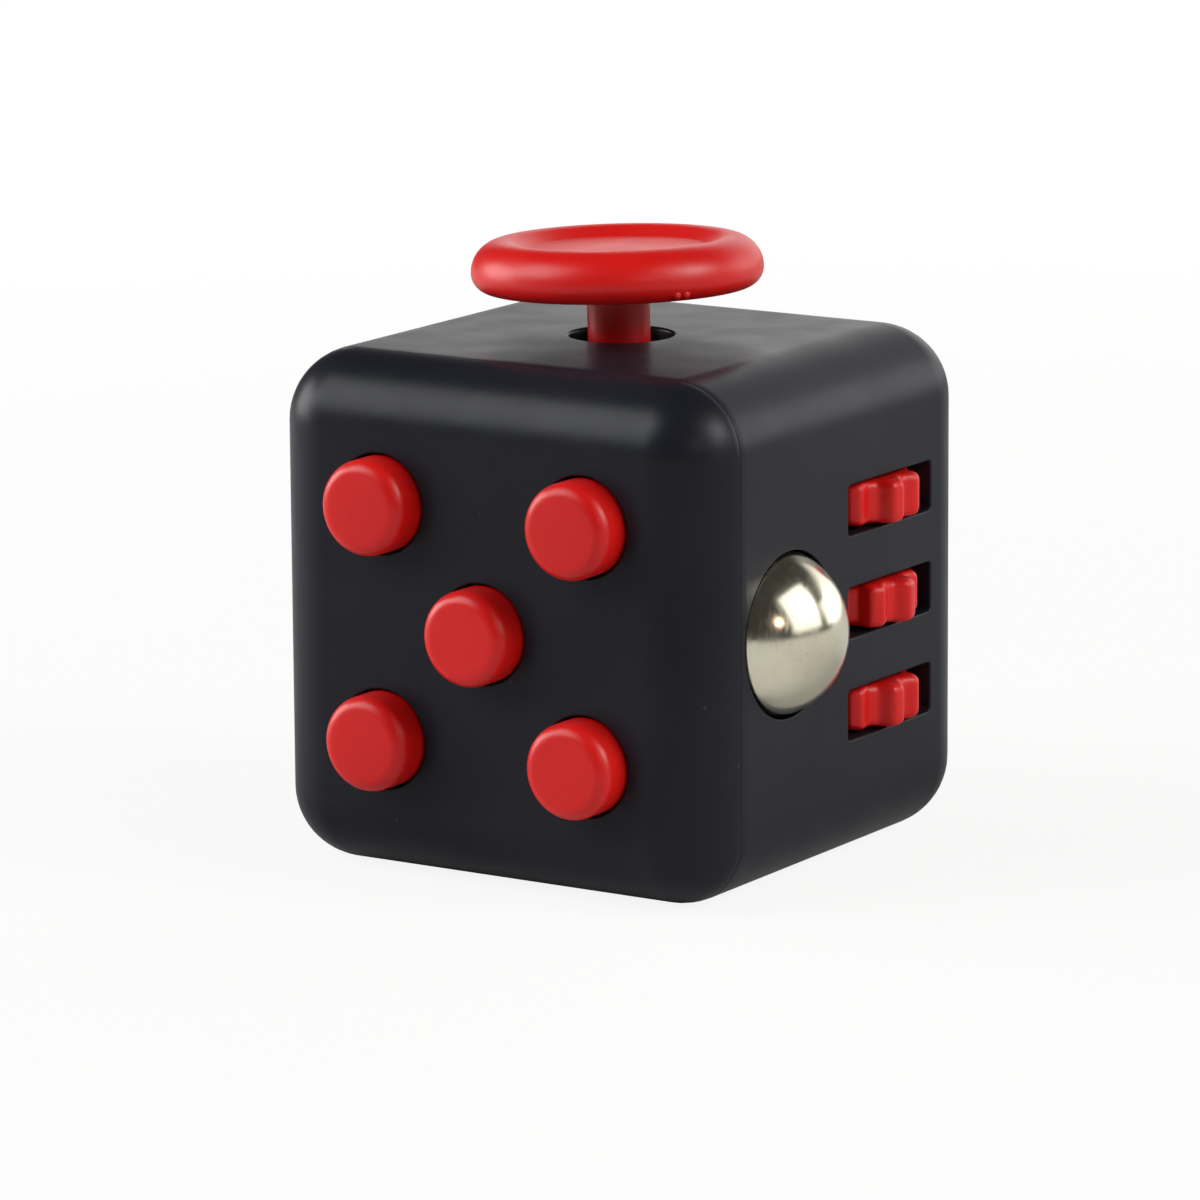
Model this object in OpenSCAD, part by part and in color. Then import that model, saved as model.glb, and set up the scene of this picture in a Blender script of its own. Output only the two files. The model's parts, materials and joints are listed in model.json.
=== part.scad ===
// Fidget cube: five push buttons, a joystick, a clicking ball with three thumb wheels, a rocker,
// a spinning dial and a thumb dish, one kind on each face of a rounded cube.
// Each mechanism is drawn in the frame of its own face, where z = 0 is the outer surface and +z points out.

/* [Cube] */
// Length of each side of the cube
side = 33.5; // [33:0.1:35]
// Radius of the cube's rounded edges and corners
edge_r = 4.8; // [4:0.1:5.2]
// Thickness of the case walls
wall = 2; // [1.8:0.1:2.2]
// Depth of the front cover, from the front surface to the parting line
cover_depth = 4.15; // [3.8:0.05:4.2]

/* [Buttons] */
// Radius of a push button
button_r = 3.1; // [2.8:0.05:3.2]
// Distance of the outer buttons from the centre one, across and up
button_pitch = 7.63; // [7.4:0.01:7.8]
// Height of a button above the front surface
button_height = 2.37; // [2:0.01:2.8]
// How far a button travels
button_travel = 0.7; // [0.5:0.05:0.8]
// Gap around a button
button_gap = 0.15; // [0.1:0.01:0.2]

/* [Joystick] */
// Radius of the thumb disc
disc_r = 9.45; // [9:0.05:10]
// Height of the disc's widest line above the pivot
disc_rise = 10.7; // [10.2:0.1:12]
// Radius of the stem
stem_r = 2.03; // [1.8:0.01:2.1]
// Radius of the hole that the stem comes out of
stem_hole_r = 3.4; // [3.3:0.05:3.6]
// Depth of the pivot under the top surface
pivot_depth = 6.5; // [6.3:0.1:6.7]
// Lean of the resting stick about the X axis, in degrees
lean_x = -0.94; // [-1.5:0.01:1.5]
// Lean of the resting stick about the Y axis, in degrees
lean_y = -2.06; // [-2.5:0.01:2.5]

/* [Ball] */
// Radius of the steel ball
ball_r = 5.5; // [5.3:0.05:5.5]
// Height of the ball's centre from the outer surface, inwards being negative
ball_sink = -2.05; // [-2.2:0.05:-2]
// Place of the ball along the side face
ball_x = -6.78; // [-6.8:0.01:-6.6]
// How far the ball and its cup travel
ball_travel = 0.8; // [0.5:0.05:0.9]

/* [Wheels] */
// Radius of a thumb wheel over its teeth
wheel_r = 4.7; // [4.5:0.05:4.75]
// Height of a thumb wheel
wheel_h = 2.8; // [2.6:0.05:2.9]
// Number of teeth on a wheel
wheel_teeth = 9; // [8:1:10]
// Distance between two wheels
wheel_pitch = 6.68; // [6.6:0.01:6.75]
// Place of the wheels' axle along the side face
wheel_x = 5.9; // [5.8:0.05:6]
// Depth of the wheels' axle under the side surface
wheel_sink = 3.4; // [3.3:0.05:3.5]
// Length of a wheel's slot
slot_l = 10.44; // [10.4:0.02:10.8]
// Height of a wheel's slot
slot_h = 3.27; // [3.2:0.01:3.4]
// Place of the slots' middle along the side face
slot_x = 5.68; // [5.6:0.01:5.8]

/* [Dial] */
// Radius of the dial
dial_r = 8; // [7:0.1:8.4]
// Height of the dial above the back surface
dial_height = 1.6; // [1:0.1:2]
// Radius of the dial's spindle
spindle_r = 2; // [1.8:0.05:2.2]

/* [Rocker] */
// Width of the rocker
rocker_w = 5.6; // [5:0.1:5.8]
// Radius that the rocker's ends swing on
rocker_swing_r = 6.1; // [5.8:0.05:6.2]
// Angle that the rocker leans each way
rocker_angle = 10; // [6:1:11]

/* [Thumb dish] */
// Radius of the dish in the bottom face
dish_r = 10; // [8:0.5:10.5]
// Depth of the dish
dish_depth = 1.6; // [1:0.1:1.8]

/* [Hidden] */
$fn = 64;
smooth_fn = 96;
half = side / 2;
inner_r = edge_r - wall;
cavity = side - 2 * wall;

// Colours of the moulded, turned and pressed pieces
black = "#2c2d31";
dark = "#45474c";
red = "#cc2429";
steel = "#c9c8c4";
spring_steel = "#9a9a96";
silicone = "#dcdad2";

// Screws: shank, clearance and pilot holes, head
screw_r = 0.7;
pilot_r = 0.72;
screw_clear_r = 0.8;
head_r = 1.05;
head_h = 0.7;
boss_r = 1.65;
wall_bite = 1.2;

// Running and locating clearances
running = 0.05;
seat = 0.02;
touch = 0.05;

// Front cover's locating pegs and lip
peg_r = 1;
peg_at = 12.7;
peg_root_r = 1.9;
peg_boss_r = 2.4;
peg_len = 2.6;
socket_len = 2.9;
socket_floor = 1;
lip_t = 0.7;
lip_len = 1.1;
lip_gap = 0.15;
lip_break_h = 14;

// Buttons, their domes and their plate
button_places = [[-1, 1], [1, 1], [0, 0], [-1, -1], [1, -1]];
button_rim = 0.7;
flange_r = 3.75;
flange_t = 0.7;
stub_r = 1;
stub_len = 0.3;
dome_r = 3;
dome_left = 0.2;
dome_h = button_travel + dome_left;
dome_t = 0.15;
pad_t = 0.3;
plate_t = 1;
plate_half = 11.2;
plate_corner = 3;
flange_back = -wall - touch - flange_t;
dome_top = flange_back - stub_len - touch;
plate_front = dome_top - dome_h;
plate_back = plate_front - plate_t;
button_screw_places = [[0, 8.5], [0, -8.5], [-8.5, 0]];

// Joystick, with heights counted from the pivot
disc_top = 2.05;
disc_under = 1.25;
crest_r = 7.0;
floor_r = 5.7;
floor_drop = 0.65;
spigot_r = 1.2;
spigot_len = 1.3;
foot_r = 2.3;
foot_t = 0.8;
foot_drop = 2.2;
pin_r = 0.75;
ring_outer_r = 4.9;
ring_inner_r = 3.1;
ring_h = 2;
stick_pin_half = 4.7;
frame_t = 1.2;
frame_half = 8.3;
frame_corner = 2.5;
frame_hole_r = 5.2;
frame_floor = -12.9;
post_in = 5.5;
post_out = 7.1;
post_half = 1.9;
frame_screw_at = 6.6;

// Ball cup and bracket
ball_gap = 0.22;
cup_gap = 0.12;
cup_r = 3.6;
cup_rim = -6.6;
cup_back = -8.65;
sleeve_r = 4.35;
sleeve_gap = 0.08;
sleeve_front = -7.3;
ball_dome_r = 3.2;
ball_dome_left = 0.9;
seat_front = cup_back - ball_travel - ball_dome_left;
seat_t = 1;
ball_screw_at = 8.2;
ball_plate_end = 10.1;

// Wheels, axle and bracket
notch_r = 1.15;
notch_at = 5.0;
hub_r = 1.9;
hub_h = 3.1;
axle_r = 1;
wheel_turns = [0, 20, 0];
shelf_t = 3.2;
end_shelf_t = 1.3;
shelf_half = 2.8;
bracket_t = 0.8;
bracket_gap = 0.45;
bracket_ear = 11.9;
bracket_ear_t = 1.2;
wheel_screw_at = 10.85;
shelf_gap = (wheel_pitch - wheel_h - shelf_t) / 2;
end_shelf = wheel_pitch + wheel_h / 2 + shelf_gap;
bracket_front = -wheel_sink - wheel_r - bracket_gap;

// Dial
recess_gap = 0.25;
recess_depth = 1;
washer_t = 0.3;
washer_r = 6;
washer_gap = 0.2;
dial_back = -recess_depth + washer_t + touch;
pad_depth = 1;
spindle_end = -4.7;
clip_t = 0.5;
clip_r = 3.3;
clip_groove_r = 1.55;
groove_front = -wall - pad_depth - touch;
groove_back = groove_front - clip_t - touch;
clip_front = groove_front - touch / 2;
dimple_at = 4.5;
dimple_r = 4;
dimple_depth = 0.9;
dial_rim = 0.6;

// Rocker, with its own heights counted from its pin
rocker_sink = 3.4;
rocker_gap = 0.2;
rocker_crown = 3.7;
rocker_belly = -0.6;
rocker_hub_r = 1.5;
rocker_pin_r = 0.8;
ear_in = 3.6;
ear_out = 4.8;
ear_half = 2;
rocker_plate = -6.6;
rocker_screw_at = 8.4;
rocker_plate_end = 10;
leaf_r = 4;
leaf_t = 0.25;
leaf_w = 3;
leaf_top = -4.95;

// Joystick spring, wound from its lower to its upper radius
spring_low_r = 1.6;
spring_high_r = 1.3;
spring_wire_r = 0.2;
spring_turns = 4;
spring_gap = 0.1;
coil_sides = 6;
coil_steps = 16;

// Where the pegs and screws stand on their faces, and how deep a boss is drilled
peg_places = [for (x = [-1, 1], y = [-1, 1]) [x * peg_at, y * peg_at]];
frame_screw_places = [for (x = [-1, 1], y = [-1, 1]) [x * frame_screw_at, y * frame_screw_at]];
ball_screw_places = [[ball_x, ball_screw_at], [ball_x, -ball_screw_at]];
wheel_screw_places = [[wheel_x, wheel_screw_at], [wheel_x, -wheel_screw_at]];
rocker_screw_places = [[0, rocker_screw_at], [0, -rocker_screw_at]];
boss_bite = 2.4;

// ---- Frames of the faces, each with +z pointing out of the cube ----

module on_front() {
    translate([0, -half, half]) rotate([90, 0, 0]) children();
}

module on_back() {
    translate([0, half, half]) rotate([90, 0, 180]) children();
}

module on_right() {
    translate([half, 0, half]) rotate([90, 0, 90]) children();
}

module on_left() {
    translate([-half, 0, half]) rotate([90, 0, -90]) children();
}

module on_top() {
    translate([0, 0, side]) children();
}

// The resting gimbal ring leans about X, and the stick leans about the ring's own Y axis
module at_pivot() {
    on_top() translate([0, 0, -pivot_depth]) children();
}

module with_ring() {
    at_pivot() rotate([lean_x, 0, 0]) children();
}

module with_stick() {
    with_ring() rotate([0, lean_y, 0]) children();
}

// ---- Shapes that several pieces share ----

module quarter_disc(r) {
    intersection() {
        circle(r);
        square(r);
    }
}

// A cube with every edge and corner rounded, made of blocks, quarter rounds and ball corners
module rounded_cube(length, r) {
    core = length - 2 * r;
    for (turn = [[0, 0, 0], [90, 0, 0], [0, 90, 0]])
        rotate(turn) {
            cube([core, core, length], center = true);
            for (quarter = [0:90:270])
                rotate(quarter) translate([core / 2, core / 2, -core / 2])
                    linear_extrude(core) quarter_disc(r);
        }
    for (flip = [0, 1], quarter = [0:90:270])
        mirror([0, 0, flip]) rotate(quarter) translate([core / 2, core / 2, core / 2])
            rotate_extrude(angle = 90) quarter_disc(r);
}

module rounded_square(length, r) {
    square([length, length - 2 * r], center = true);
    square([length - 2 * r, length], center = true);
    for (quarter = [0:90:270])
        rotate(quarter) translate([length / 2 - r, length / 2 - r]) quarter_disc(r);
}

// A round bar along z between two heights
module bar(r, low, high) {
    translate([0, 0, low]) cylinder(r = r, h = high - low);
}

// A block between two corners
module block(low, high) {
    translate(low) cube(high - low);
}

// A turned disc from z = 0 to its height, with a rounded upper rim
module rimmed_disc(r, height, rim) {
    rotate_extrude() {
        square([r - rim, height]);
        square([r, height - rim]);
        translate([r - rim, height - rim]) quarter_disc(rim);
    }
}

// A pressed dome of even thickness, standing on z = 0
module dome(r, height, thickness) {
    bend_r = (r * r + height * height) / (2 * height);
    rotate_extrude()
        intersection() {
            translate([0, height - bend_r]) difference() {
                circle(bend_r);
                circle(bend_r - thickness);
            }
            square([r, height]);
        }
}

// A pan-head screw along z whose head sits on z = 0 and points down
module screw(length) {
    bar(head_r, -head_h, 0);
    bar(screw_r, 0, length);
}

// Two or more screws at places on a face, entering from a plate's back
module screws(places, plate_level, length) {
    for (place = places)
        translate([place[0], place[1], plate_level]) screw(length);
}

// Point number j of the wire's section at step i of a coil
function coil_point(i, j, steps, low_r, high_r, wire, height) =
    let (
        along = i / steps,
        turn = 360 * i / coil_steps,
        bend_r = low_r + (high_r - low_r) * along,
        around = 360 * j / coil_sides,
        out = bend_r + wire * cos(around)
    )
    [out * cos(turn), out * sin(turn), wire + (height - 2 * wire) * along + wire * sin(around)];

// A round wire wound upwards from z = 0, from one radius to another
module coil(low_r, high_r, wire, height, turns) {
    steps = turns * coil_steps;
    last = steps * coil_sides;
    points = [
        for (i = [0:steps], j = [0:coil_sides - 1])
            coil_point(i, j, steps, low_r, high_r, wire, height)
    ];
    walls = [
        for (i = [0:steps - 1], j = [0:coil_sides - 1])
            let (near = i * coil_sides, next = (j + 1) % coil_sides)
            [near + j, near + coil_sides + j, near + coil_sides + next, near + next]
    ];
    ends = [
        [for (j = [0:coil_sides - 1]) j],
        [for (j = [coil_sides - 1:-1:0]) last + j]
    ];
    polyhedron(points = points, faces = concat(walls, ends), convexity = 6);
}

// ---- Case ----

module hollow_cube() {
    difference() {
        translate([0, 0, half]) rounded_cube(side, edge_r);
        translate([0, 0, half]) rounded_cube(cavity, inner_r);
    }
}

// Bosses on the inside of a face, from the wall to a plate
module bosses(places, plate_level) {
    for (place = places)
        translate([place[0], place[1], 0]) bar(boss_r, plate_level, -wall + touch);
}

module pilot_holes(places, deep, mouth) {
    for (place = places)
        translate([place[0], place[1], 0]) bar(pilot_r, deep, mouth);
}

module main_shell() {
    dish_bend_r = (dish_r * dish_r + dish_depth * dish_depth) / (2 * dish_depth);
    color(black)
        difference() {
            union() {
                difference() {
                    hollow_cube();
                    block([-side, -side, -side], [side, cover_depth - half, 2 * side]);
                }
                on_front() intersection() {
                    for (place = peg_places)
                        translate([place[0], place[1], 0])
                            bar(peg_boss_r, -cover_depth - socket_len - socket_floor, -cover_depth);
                    block([-half + wall / 2, -half + wall / 2, -side],
                          [half - wall / 2, half - wall / 2, 0]);
                }
                on_right() bosses(ball_screw_places, seat_front);
                on_left() bosses(rocker_screw_places, rocker_plate);
                on_back() bar(dial_r + wall, -wall - pad_depth, -wall + touch);
                bar(dish_r + wall / 2, wall - touch, wall + dish_depth);
            }
            translate([0, 0, dish_depth - dish_bend_r]) sphere(dish_bend_r, $fn = smooth_fn);
            on_front() for (place = peg_places)
                translate([place[0], place[1], 0])
                    bar(peg_r + seat, -cover_depth - socket_len, -cover_depth + touch);
            on_top() bar(stem_hole_r, -wall - touch, touch);
            on_top() pilot_holes(frame_screw_places, -wall - touch, -wall + wall_bite + touch);
            on_right() {
                translate([ball_x, 0, ball_sink]) intersection() {
                    sphere(ball_r + ball_gap);
                    bar(2 * ball_r, -wall - touch - ball_sink, 2 * ball_r);
                }
                for (step = [-1, 0, 1])
                    translate([slot_x, step * wheel_pitch, -wall / 2])
                        cube([slot_l, slot_h, 2 * wall], center = true);
                pilot_holes(ball_screw_places, seat_front - touch, seat_front + boss_bite);
                pilot_holes(wheel_screw_places, -wall - touch, -wall + wall_bite + touch);
            }
            on_back() {
                bar(dial_r + recess_gap, -recess_depth, touch);
                bar(spindle_r + running, -wall - pad_depth - touch, 0);
            }
            on_left() {
                intersection() {
                    translate([0, 0, -rocker_sink]) rotate([0, 90, 0])
                        cylinder(r = rocker_swing_r + rocker_gap, h = rocker_w + 2 * rocker_gap, center = true);
                    block([-side, -side, -wall - touch], [side, side, touch]);
                }
                pilot_holes(rocker_screw_places, rocker_plate - touch, rocker_plate + boss_bite);
            }
        }
}

module front_cover() {
    color(black)
        difference() {
            union() {
                intersection() {
                    hollow_cube();
                    block([-side, -side, -side], [side, cover_depth - half, 2 * side]);
                }
                on_front() {
                    for (place = peg_places)
                        translate([place[0], place[1], 0]) {
                            bar(peg_r, -cover_depth - peg_len, -wall);
                            intersection() {
                                bar(peg_root_r, -cover_depth, -wall + touch);
                                translate([-place[0], -place[1], 0])
                                    block([-cavity / 2 - touch, -cavity / 2 - touch, -side],
                                          [cavity / 2 + touch, cavity / 2 + touch, 0]);
                            }
                        }
                    bosses(button_screw_places, plate_front);
                    difference() {
                        translate([0, 0, -cover_depth - lip_len]) linear_extrude(lip_len + wall)
                            difference() {
                                rounded_square(cavity - 2 * lip_gap, inner_r);
                                rounded_square(cavity - 2 * lip_gap - 2 * lip_t, inner_r - lip_t);
                            }
                        block([0, -lip_break_h / 2, -side], [side, lip_break_h / 2, 0]);
                        for (place = peg_places)
                            translate([place[0], place[1], 0])
                                bar(peg_boss_r + touch, -side, -cover_depth);
                    }
                }
            }
            on_front() {
                for (place = button_places)
                    translate([place[0] * button_pitch, place[1] * button_pitch, 0])
                        bar(button_r + button_gap, -wall - touch, touch);
                pilot_holes(button_screw_places, plate_front - touch, -wall + touch);
            }
        }
}

// ---- Push buttons on the front face ----

module at_button(place) {
    on_front() translate([place[0] * button_pitch, place[1] * button_pitch, 0]) children();
}

module button(place) {
    color(red) at_button(place) {
        translate([0, 0, -wall - touch]) rimmed_disc(button_r, wall + touch + button_height, button_rim);
        bar(flange_r, flange_back, -wall - touch);
        bar(stub_r, flange_back - stub_len, flange_back);
    }
}

// Snap dome of sprung steel under a button that clicks
module click_dome(place) {
    color(spring_steel) at_button(place) translate([0, 0, plate_front]) dome(dome_r, dome_h, dome_t);
}

// Soft dome under a button that is silent
module quiet_pad(place) {
    color(silicone) at_button(place) translate([0, 0, plate_front]) dome(dome_r, dome_h, pad_t);
}

module button_plate() {
    color(dark) on_front() difference() {
        translate([0, 0, plate_back]) linear_extrude(plate_t) rounded_square(2 * plate_half, plate_corner);
        for (place = button_screw_places)
            translate([place[0], place[1], 0]) bar(screw_clear_r, plate_back - touch, plate_front + touch);
    }
}

module button_screws() {
    color(steel) on_front() screws(button_screw_places, plate_back, plate_t + wall_bite);
}

// ---- Joystick on the top face ----

module joystick_cap() {
    color(red) with_stick() translate([0, 0, disc_rise]) difference() {
        rotate_extrude() difference() {
            union() {
                square([disc_r - disc_top, disc_top]);
                translate([disc_r - disc_top, 0]) quarter_disc(disc_top);
                translate([0, -disc_under]) square([disc_r - disc_under, disc_under]);
                translate([disc_r - disc_under, 0]) mirror([0, 1]) quarter_disc(disc_under);
            }
            polygon([
                [0, disc_top - floor_drop],
                [floor_r, disc_top - floor_drop],
                [crest_r, disc_top],
                [crest_r, disc_top + touch],
                [0, disc_top + touch]
            ]);
        }
        bar(spigot_r + seat, -disc_under - touch, spigot_len + seat - disc_under);
    }
}

module joystick_stem() {
    color(red) with_stick() difference() {
        union() {
            bar(stem_r, -foot_drop - foot_t, disc_rise - disc_under);
            bar(spigot_r, 0, disc_rise - disc_under + spigot_len);
            bar(foot_r, -foot_drop - foot_t, -foot_drop);
        }
        rotate([90, 0, 0]) cylinder(r = pin_r + seat, h = 4 * stem_r, center = true);
    }
}

module joystick_pin() {
    color(steel) with_stick() rotate([90, 0, 0]) cylinder(r = pin_r, h = 2 * stick_pin_half, center = true);
}

module gimbal_ring() {
    color(dark) with_ring() difference() {
        bar(ring_outer_r, -ring_h / 2, ring_h / 2);
        bar(ring_inner_r, -ring_h, ring_h);
        rotate([90, 0, 0]) cylinder(r = pin_r + running, h = 4 * ring_outer_r, center = true);
        rotate([0, 90, 0]) cylinder(r = pin_r + running, h = 4 * ring_outer_r, center = true);
    }
}

// Two short pins along X that carry the ring in the frame's posts
module gimbal_pins() {
    color(steel) at_pivot() for (flip = [0, 1])
        mirror([flip, 0, 0]) translate([ring_inner_r + running, 0, 0]) rotate([0, 90, 0])
            cylinder(r = pin_r, h = post_out - ring_inner_r);
}

// Plate under the top wall, with two posts for the gimbal and a floor for the spring
module joystick_frame() {
    color(dark) on_top() difference() {
        union() {
            translate([0, 0, -wall - frame_t]) linear_extrude(frame_t)
                rounded_square(2 * frame_half, frame_corner);
            for (flip = [0, 1])
                mirror([flip, 0, 0])
                    block([post_in, -post_half, frame_floor], [post_out, post_half, -wall - frame_t + touch]);
            block([-post_out, -post_half, frame_floor - frame_t], [post_out, post_half, frame_floor]);
        }
        bar(frame_hole_r, -wall - frame_t - touch, touch);
        translate([0, 0, -pivot_depth]) rotate([0, 90, 0])
            cylinder(r = pin_r + seat, h = 4 * post_out, center = true);
        for (place = frame_screw_places)
            translate([place[0], place[1], 0]) bar(screw_clear_r, -wall - frame_t - touch, 0);
    }
}

module joystick_spring() {
    spring_h = -pivot_depth - foot_drop - foot_t - frame_floor;
    color(spring_steel) on_top() translate([0, 0, frame_floor + touch])
        coil(spring_low_r, spring_high_r, spring_wire_r, spring_h - touch - spring_gap, spring_turns);
}

module joystick_screws() {
    color(steel) on_top() screws(frame_screw_places, -wall - frame_t, frame_t + wall_bite);
}

// ---- Ball on the right face ----

module ball() {
    color(steel) on_right() translate([ball_x, 0, ball_sink]) sphere(ball_r, $fn = smooth_fn);
}

module ball_cup() {
    color(dark) on_right() translate([ball_x, 0, 0]) difference() {
        bar(cup_r, cup_back, cup_rim);
        translate([0, 0, ball_sink]) sphere(ball_r + cup_gap, $fn = smooth_fn);
    }
}

// Snap dome that gives the ball its click
module ball_dome() {
    color(spring_steel) on_right() translate([ball_x, 0, seat_front])
        dome(ball_dome_r, cup_back - seat_front - touch, dome_t);
}

module ball_bracket() {
    color(dark) on_right() difference() {
        union() {
            block([ball_x - sleeve_r, -ball_plate_end, seat_front - seat_t],
                  [ball_x + sleeve_r, ball_plate_end, seat_front]);
            translate([ball_x, 0, 0]) bar(sleeve_r, seat_front - touch, sleeve_front);
        }
        translate([ball_x, 0, 0]) bar(cup_r + sleeve_gap, seat_front, sleeve_front + touch);
        for (place = ball_screw_places)
            translate([place[0], place[1], 0])
                bar(screw_clear_r, seat_front - seat_t - touch, seat_front + touch);
    }
}

module ball_screws() {
    color(steel) on_right() screws(ball_screw_places, seat_front - seat_t, seat_t + wall_bite);
}

// ---- Thumb wheels on the right face ----

// Turns what is drawn about z upright, onto the axle at one wheel's height
module at_wheel(step) {
    on_right() translate([wheel_x, step * wheel_pitch, -wheel_sink]) rotate([-90, 0, 0]) children();
}

module wheel(step) {
    color(red) at_wheel(step) rotate(wheel_turns[step + 1]) difference() {
        union() {
            cylinder(r = wheel_r, h = wheel_h, center = true);
            cylinder(r = hub_r, h = hub_h, center = true);
        }
        cylinder(r = axle_r + running, h = 2 * hub_h, center = true);
        for (tooth = [0:wheel_teeth - 1])
            rotate((tooth + 0.5) * 360 / wheel_teeth) translate([notch_at, 0, 0])
                cylinder(r = notch_r, h = 2 * hub_h, center = true);
    }
}

module wheel_axle() {
    color(steel) at_wheel(0) cylinder(r = axle_r, h = 2 * (end_shelf + end_shelf_t) - touch, center = true);
}

module wheel_bracket() {
    shelf_mid = wheel_pitch / 2;
    color(dark) on_right() difference() {
        union() {
            block([wheel_x - shelf_half, -end_shelf - end_shelf_t, bracket_front - bracket_t],
                  [wheel_x + shelf_half, end_shelf + end_shelf_t, bracket_front]);
            for (flip = [0, 1])
                mirror([0, flip, 0]) {
                    block([wheel_x - shelf_half, shelf_mid - shelf_t / 2, bracket_front - touch],
                          [wheel_x + shelf_half, shelf_mid + shelf_t / 2, -wall - touch]);
                    block([wheel_x - shelf_half, end_shelf, bracket_front - touch],
                          [wheel_x + shelf_half, end_shelf + end_shelf_t, -wall]);
                    block([wheel_x - shelf_half, end_shelf + end_shelf_t - touch, -wall - bracket_ear_t],
                          [wheel_x + shelf_half, bracket_ear, -wall]);
                }
        }
        translate([wheel_x, 0, -wheel_sink]) rotate([90, 0, 0])
            cylinder(r = axle_r + seat, h = 2 * side, center = true);
        for (place = wheel_screw_places)
            translate([place[0], place[1], 0]) bar(screw_clear_r, -wall - 2 * bracket_ear_t, 0);
    }
}

module wheel_screws() {
    color(steel) on_right() screws(wheel_screw_places, -wall - bracket_ear_t, bracket_ear_t + wall_bite);
}

// ---- Dial on the back face ----

module dial() {
    color(red) on_back() difference() {
        union() {
            translate([0, 0, dial_back]) rimmed_disc(dial_r, dial_height - dial_back, dial_rim);
            bar(spindle_r, spindle_end, dial_back + touch);
        }
        translate([0, dimple_at, dial_height + dimple_r - dimple_depth]) sphere(dimple_r);
        difference() {
            bar(2 * spindle_r, groove_back, groove_front);
            bar(clip_groove_r, spindle_end - touch, 0);
        }
    }
}

module dial_washer() {
    color(spring_steel) on_back() difference() {
        bar(washer_r, -recess_depth, -recess_depth + washer_t);
        bar(spindle_r + washer_gap, -wall, 0);
    }
}

module dial_clip() {
    color(spring_steel) on_back() difference() {
        bar(clip_r, clip_front - clip_t, clip_front);
        bar(clip_groove_r + seat, spindle_end, 0);
        block([-clip_groove_r + running, -side, -side], [clip_groove_r - running, 0, 0]);
    }
}

// ---- Rocker on the left face ----

module at_rocker() {
    on_left() translate([0, 0, -rocker_sink]) children();
}

module rocker() {
    reach = rocker_swing_r + rocker_gap;
    rise = reach * tan(rocker_angle);
    color(red) at_rocker() rotate([-rocker_angle, 0, 0]) difference() {
        union() {
            intersection() {
                rotate([90, 0, 90]) linear_extrude(rocker_w, center = true)
                    polygon([
                        [-reach, rocker_belly],
                        [reach, rocker_belly],
                        [reach, rocker_crown + rise],
                        [0, rocker_crown],
                        [-reach, rocker_crown + rise]
                    ]);
                rotate([0, 90, 0]) cylinder(r = rocker_swing_r, h = 2 * rocker_w, center = true);
            }
            rotate([0, 90, 0]) cylinder(r = rocker_hub_r, h = rocker_w, center = true);
        }
        rotate([0, 90, 0]) cylinder(r = rocker_pin_r + running, h = 2 * rocker_w, center = true);
    }
}

module rocker_pin() {
    color(steel) at_rocker() rotate([0, 90, 0]) cylinder(r = rocker_pin_r, h = 2 * ear_out, center = true);
}

module rocker_bracket() {
    color(dark) on_left() difference() {
        union() {
            block([-ear_out, -rocker_plate_end, rocker_plate - plate_t],
                  [ear_out, rocker_plate_end, rocker_plate]);
            for (flip = [0, 1])
                mirror([flip, 0, 0])
                    block([ear_in, -ear_half, rocker_plate - touch], [ear_out, ear_half, -wall - touch]);
        }
        translate([0, 0, -rocker_sink]) rotate([0, 90, 0])
            cylinder(r = rocker_pin_r + seat, h = 4 * ear_out, center = true);
        for (place = rocker_screw_places)
            translate([place[0], place[1], 0])
                bar(screw_clear_r, rocker_plate - plate_t - touch, rocker_plate + touch);
    }
}

// Bowed leaf that snaps the rocker from one end to the other
module rocker_leaf() {
    color(spring_steel) on_left() translate([0, 0, leaf_top - leaf_r]) intersection() {
        rotate([0, 90, 0]) difference() {
            cylinder(r = leaf_r, h = leaf_w, center = true);
            cylinder(r = leaf_r - leaf_t, h = 2 * leaf_w, center = true);
        }
        block([-leaf_w, -leaf_r, rocker_plate - leaf_top + leaf_r], [leaf_w, leaf_r, leaf_r]);
    }
}

module rocker_screws() {
    color(steel) on_left() screws(rocker_screw_places, rocker_plate - plate_t, plate_t + wall_bite);
}

// ---- What is drawn ----

main_shell();
front_cover();
button(button_places[0]);  // button_upper_left
button(button_places[1]);  // button_upper_right
button(button_places[2]);  // button_centre
button(button_places[3]);  // button_lower_left
button(button_places[4]);  // button_lower_right
click_dome(button_places[0]);  // dome_upper_left
click_dome(button_places[1]);  // dome_upper_right
click_dome(button_places[2]);  // dome_centre
quiet_pad(button_places[3]);  // pad_lower_left
quiet_pad(button_places[4]);  // pad_lower_right
button_plate();
button_screws();
joystick_cap();
joystick_stem();
joystick_pin();
gimbal_ring();
gimbal_pins();
joystick_frame();
joystick_spring();
joystick_screws();
ball();
ball_cup();
ball_dome();
ball_bracket();
ball_screws();
wheel(1);  // wheel_upper
wheel(0);  // wheel_middle
wheel(-1);  // wheel_lower
wheel_axle();
wheel_bracket();
wheel_screws();
dial();
dial_washer();
dial_clip();
rocker();
rocker_pin();
rocker_bracket();
rocker_leaf();
rocker_screws();
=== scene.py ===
import json
import math
import bmesh
import bpy
from mathutils import Matrix, Vector

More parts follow.
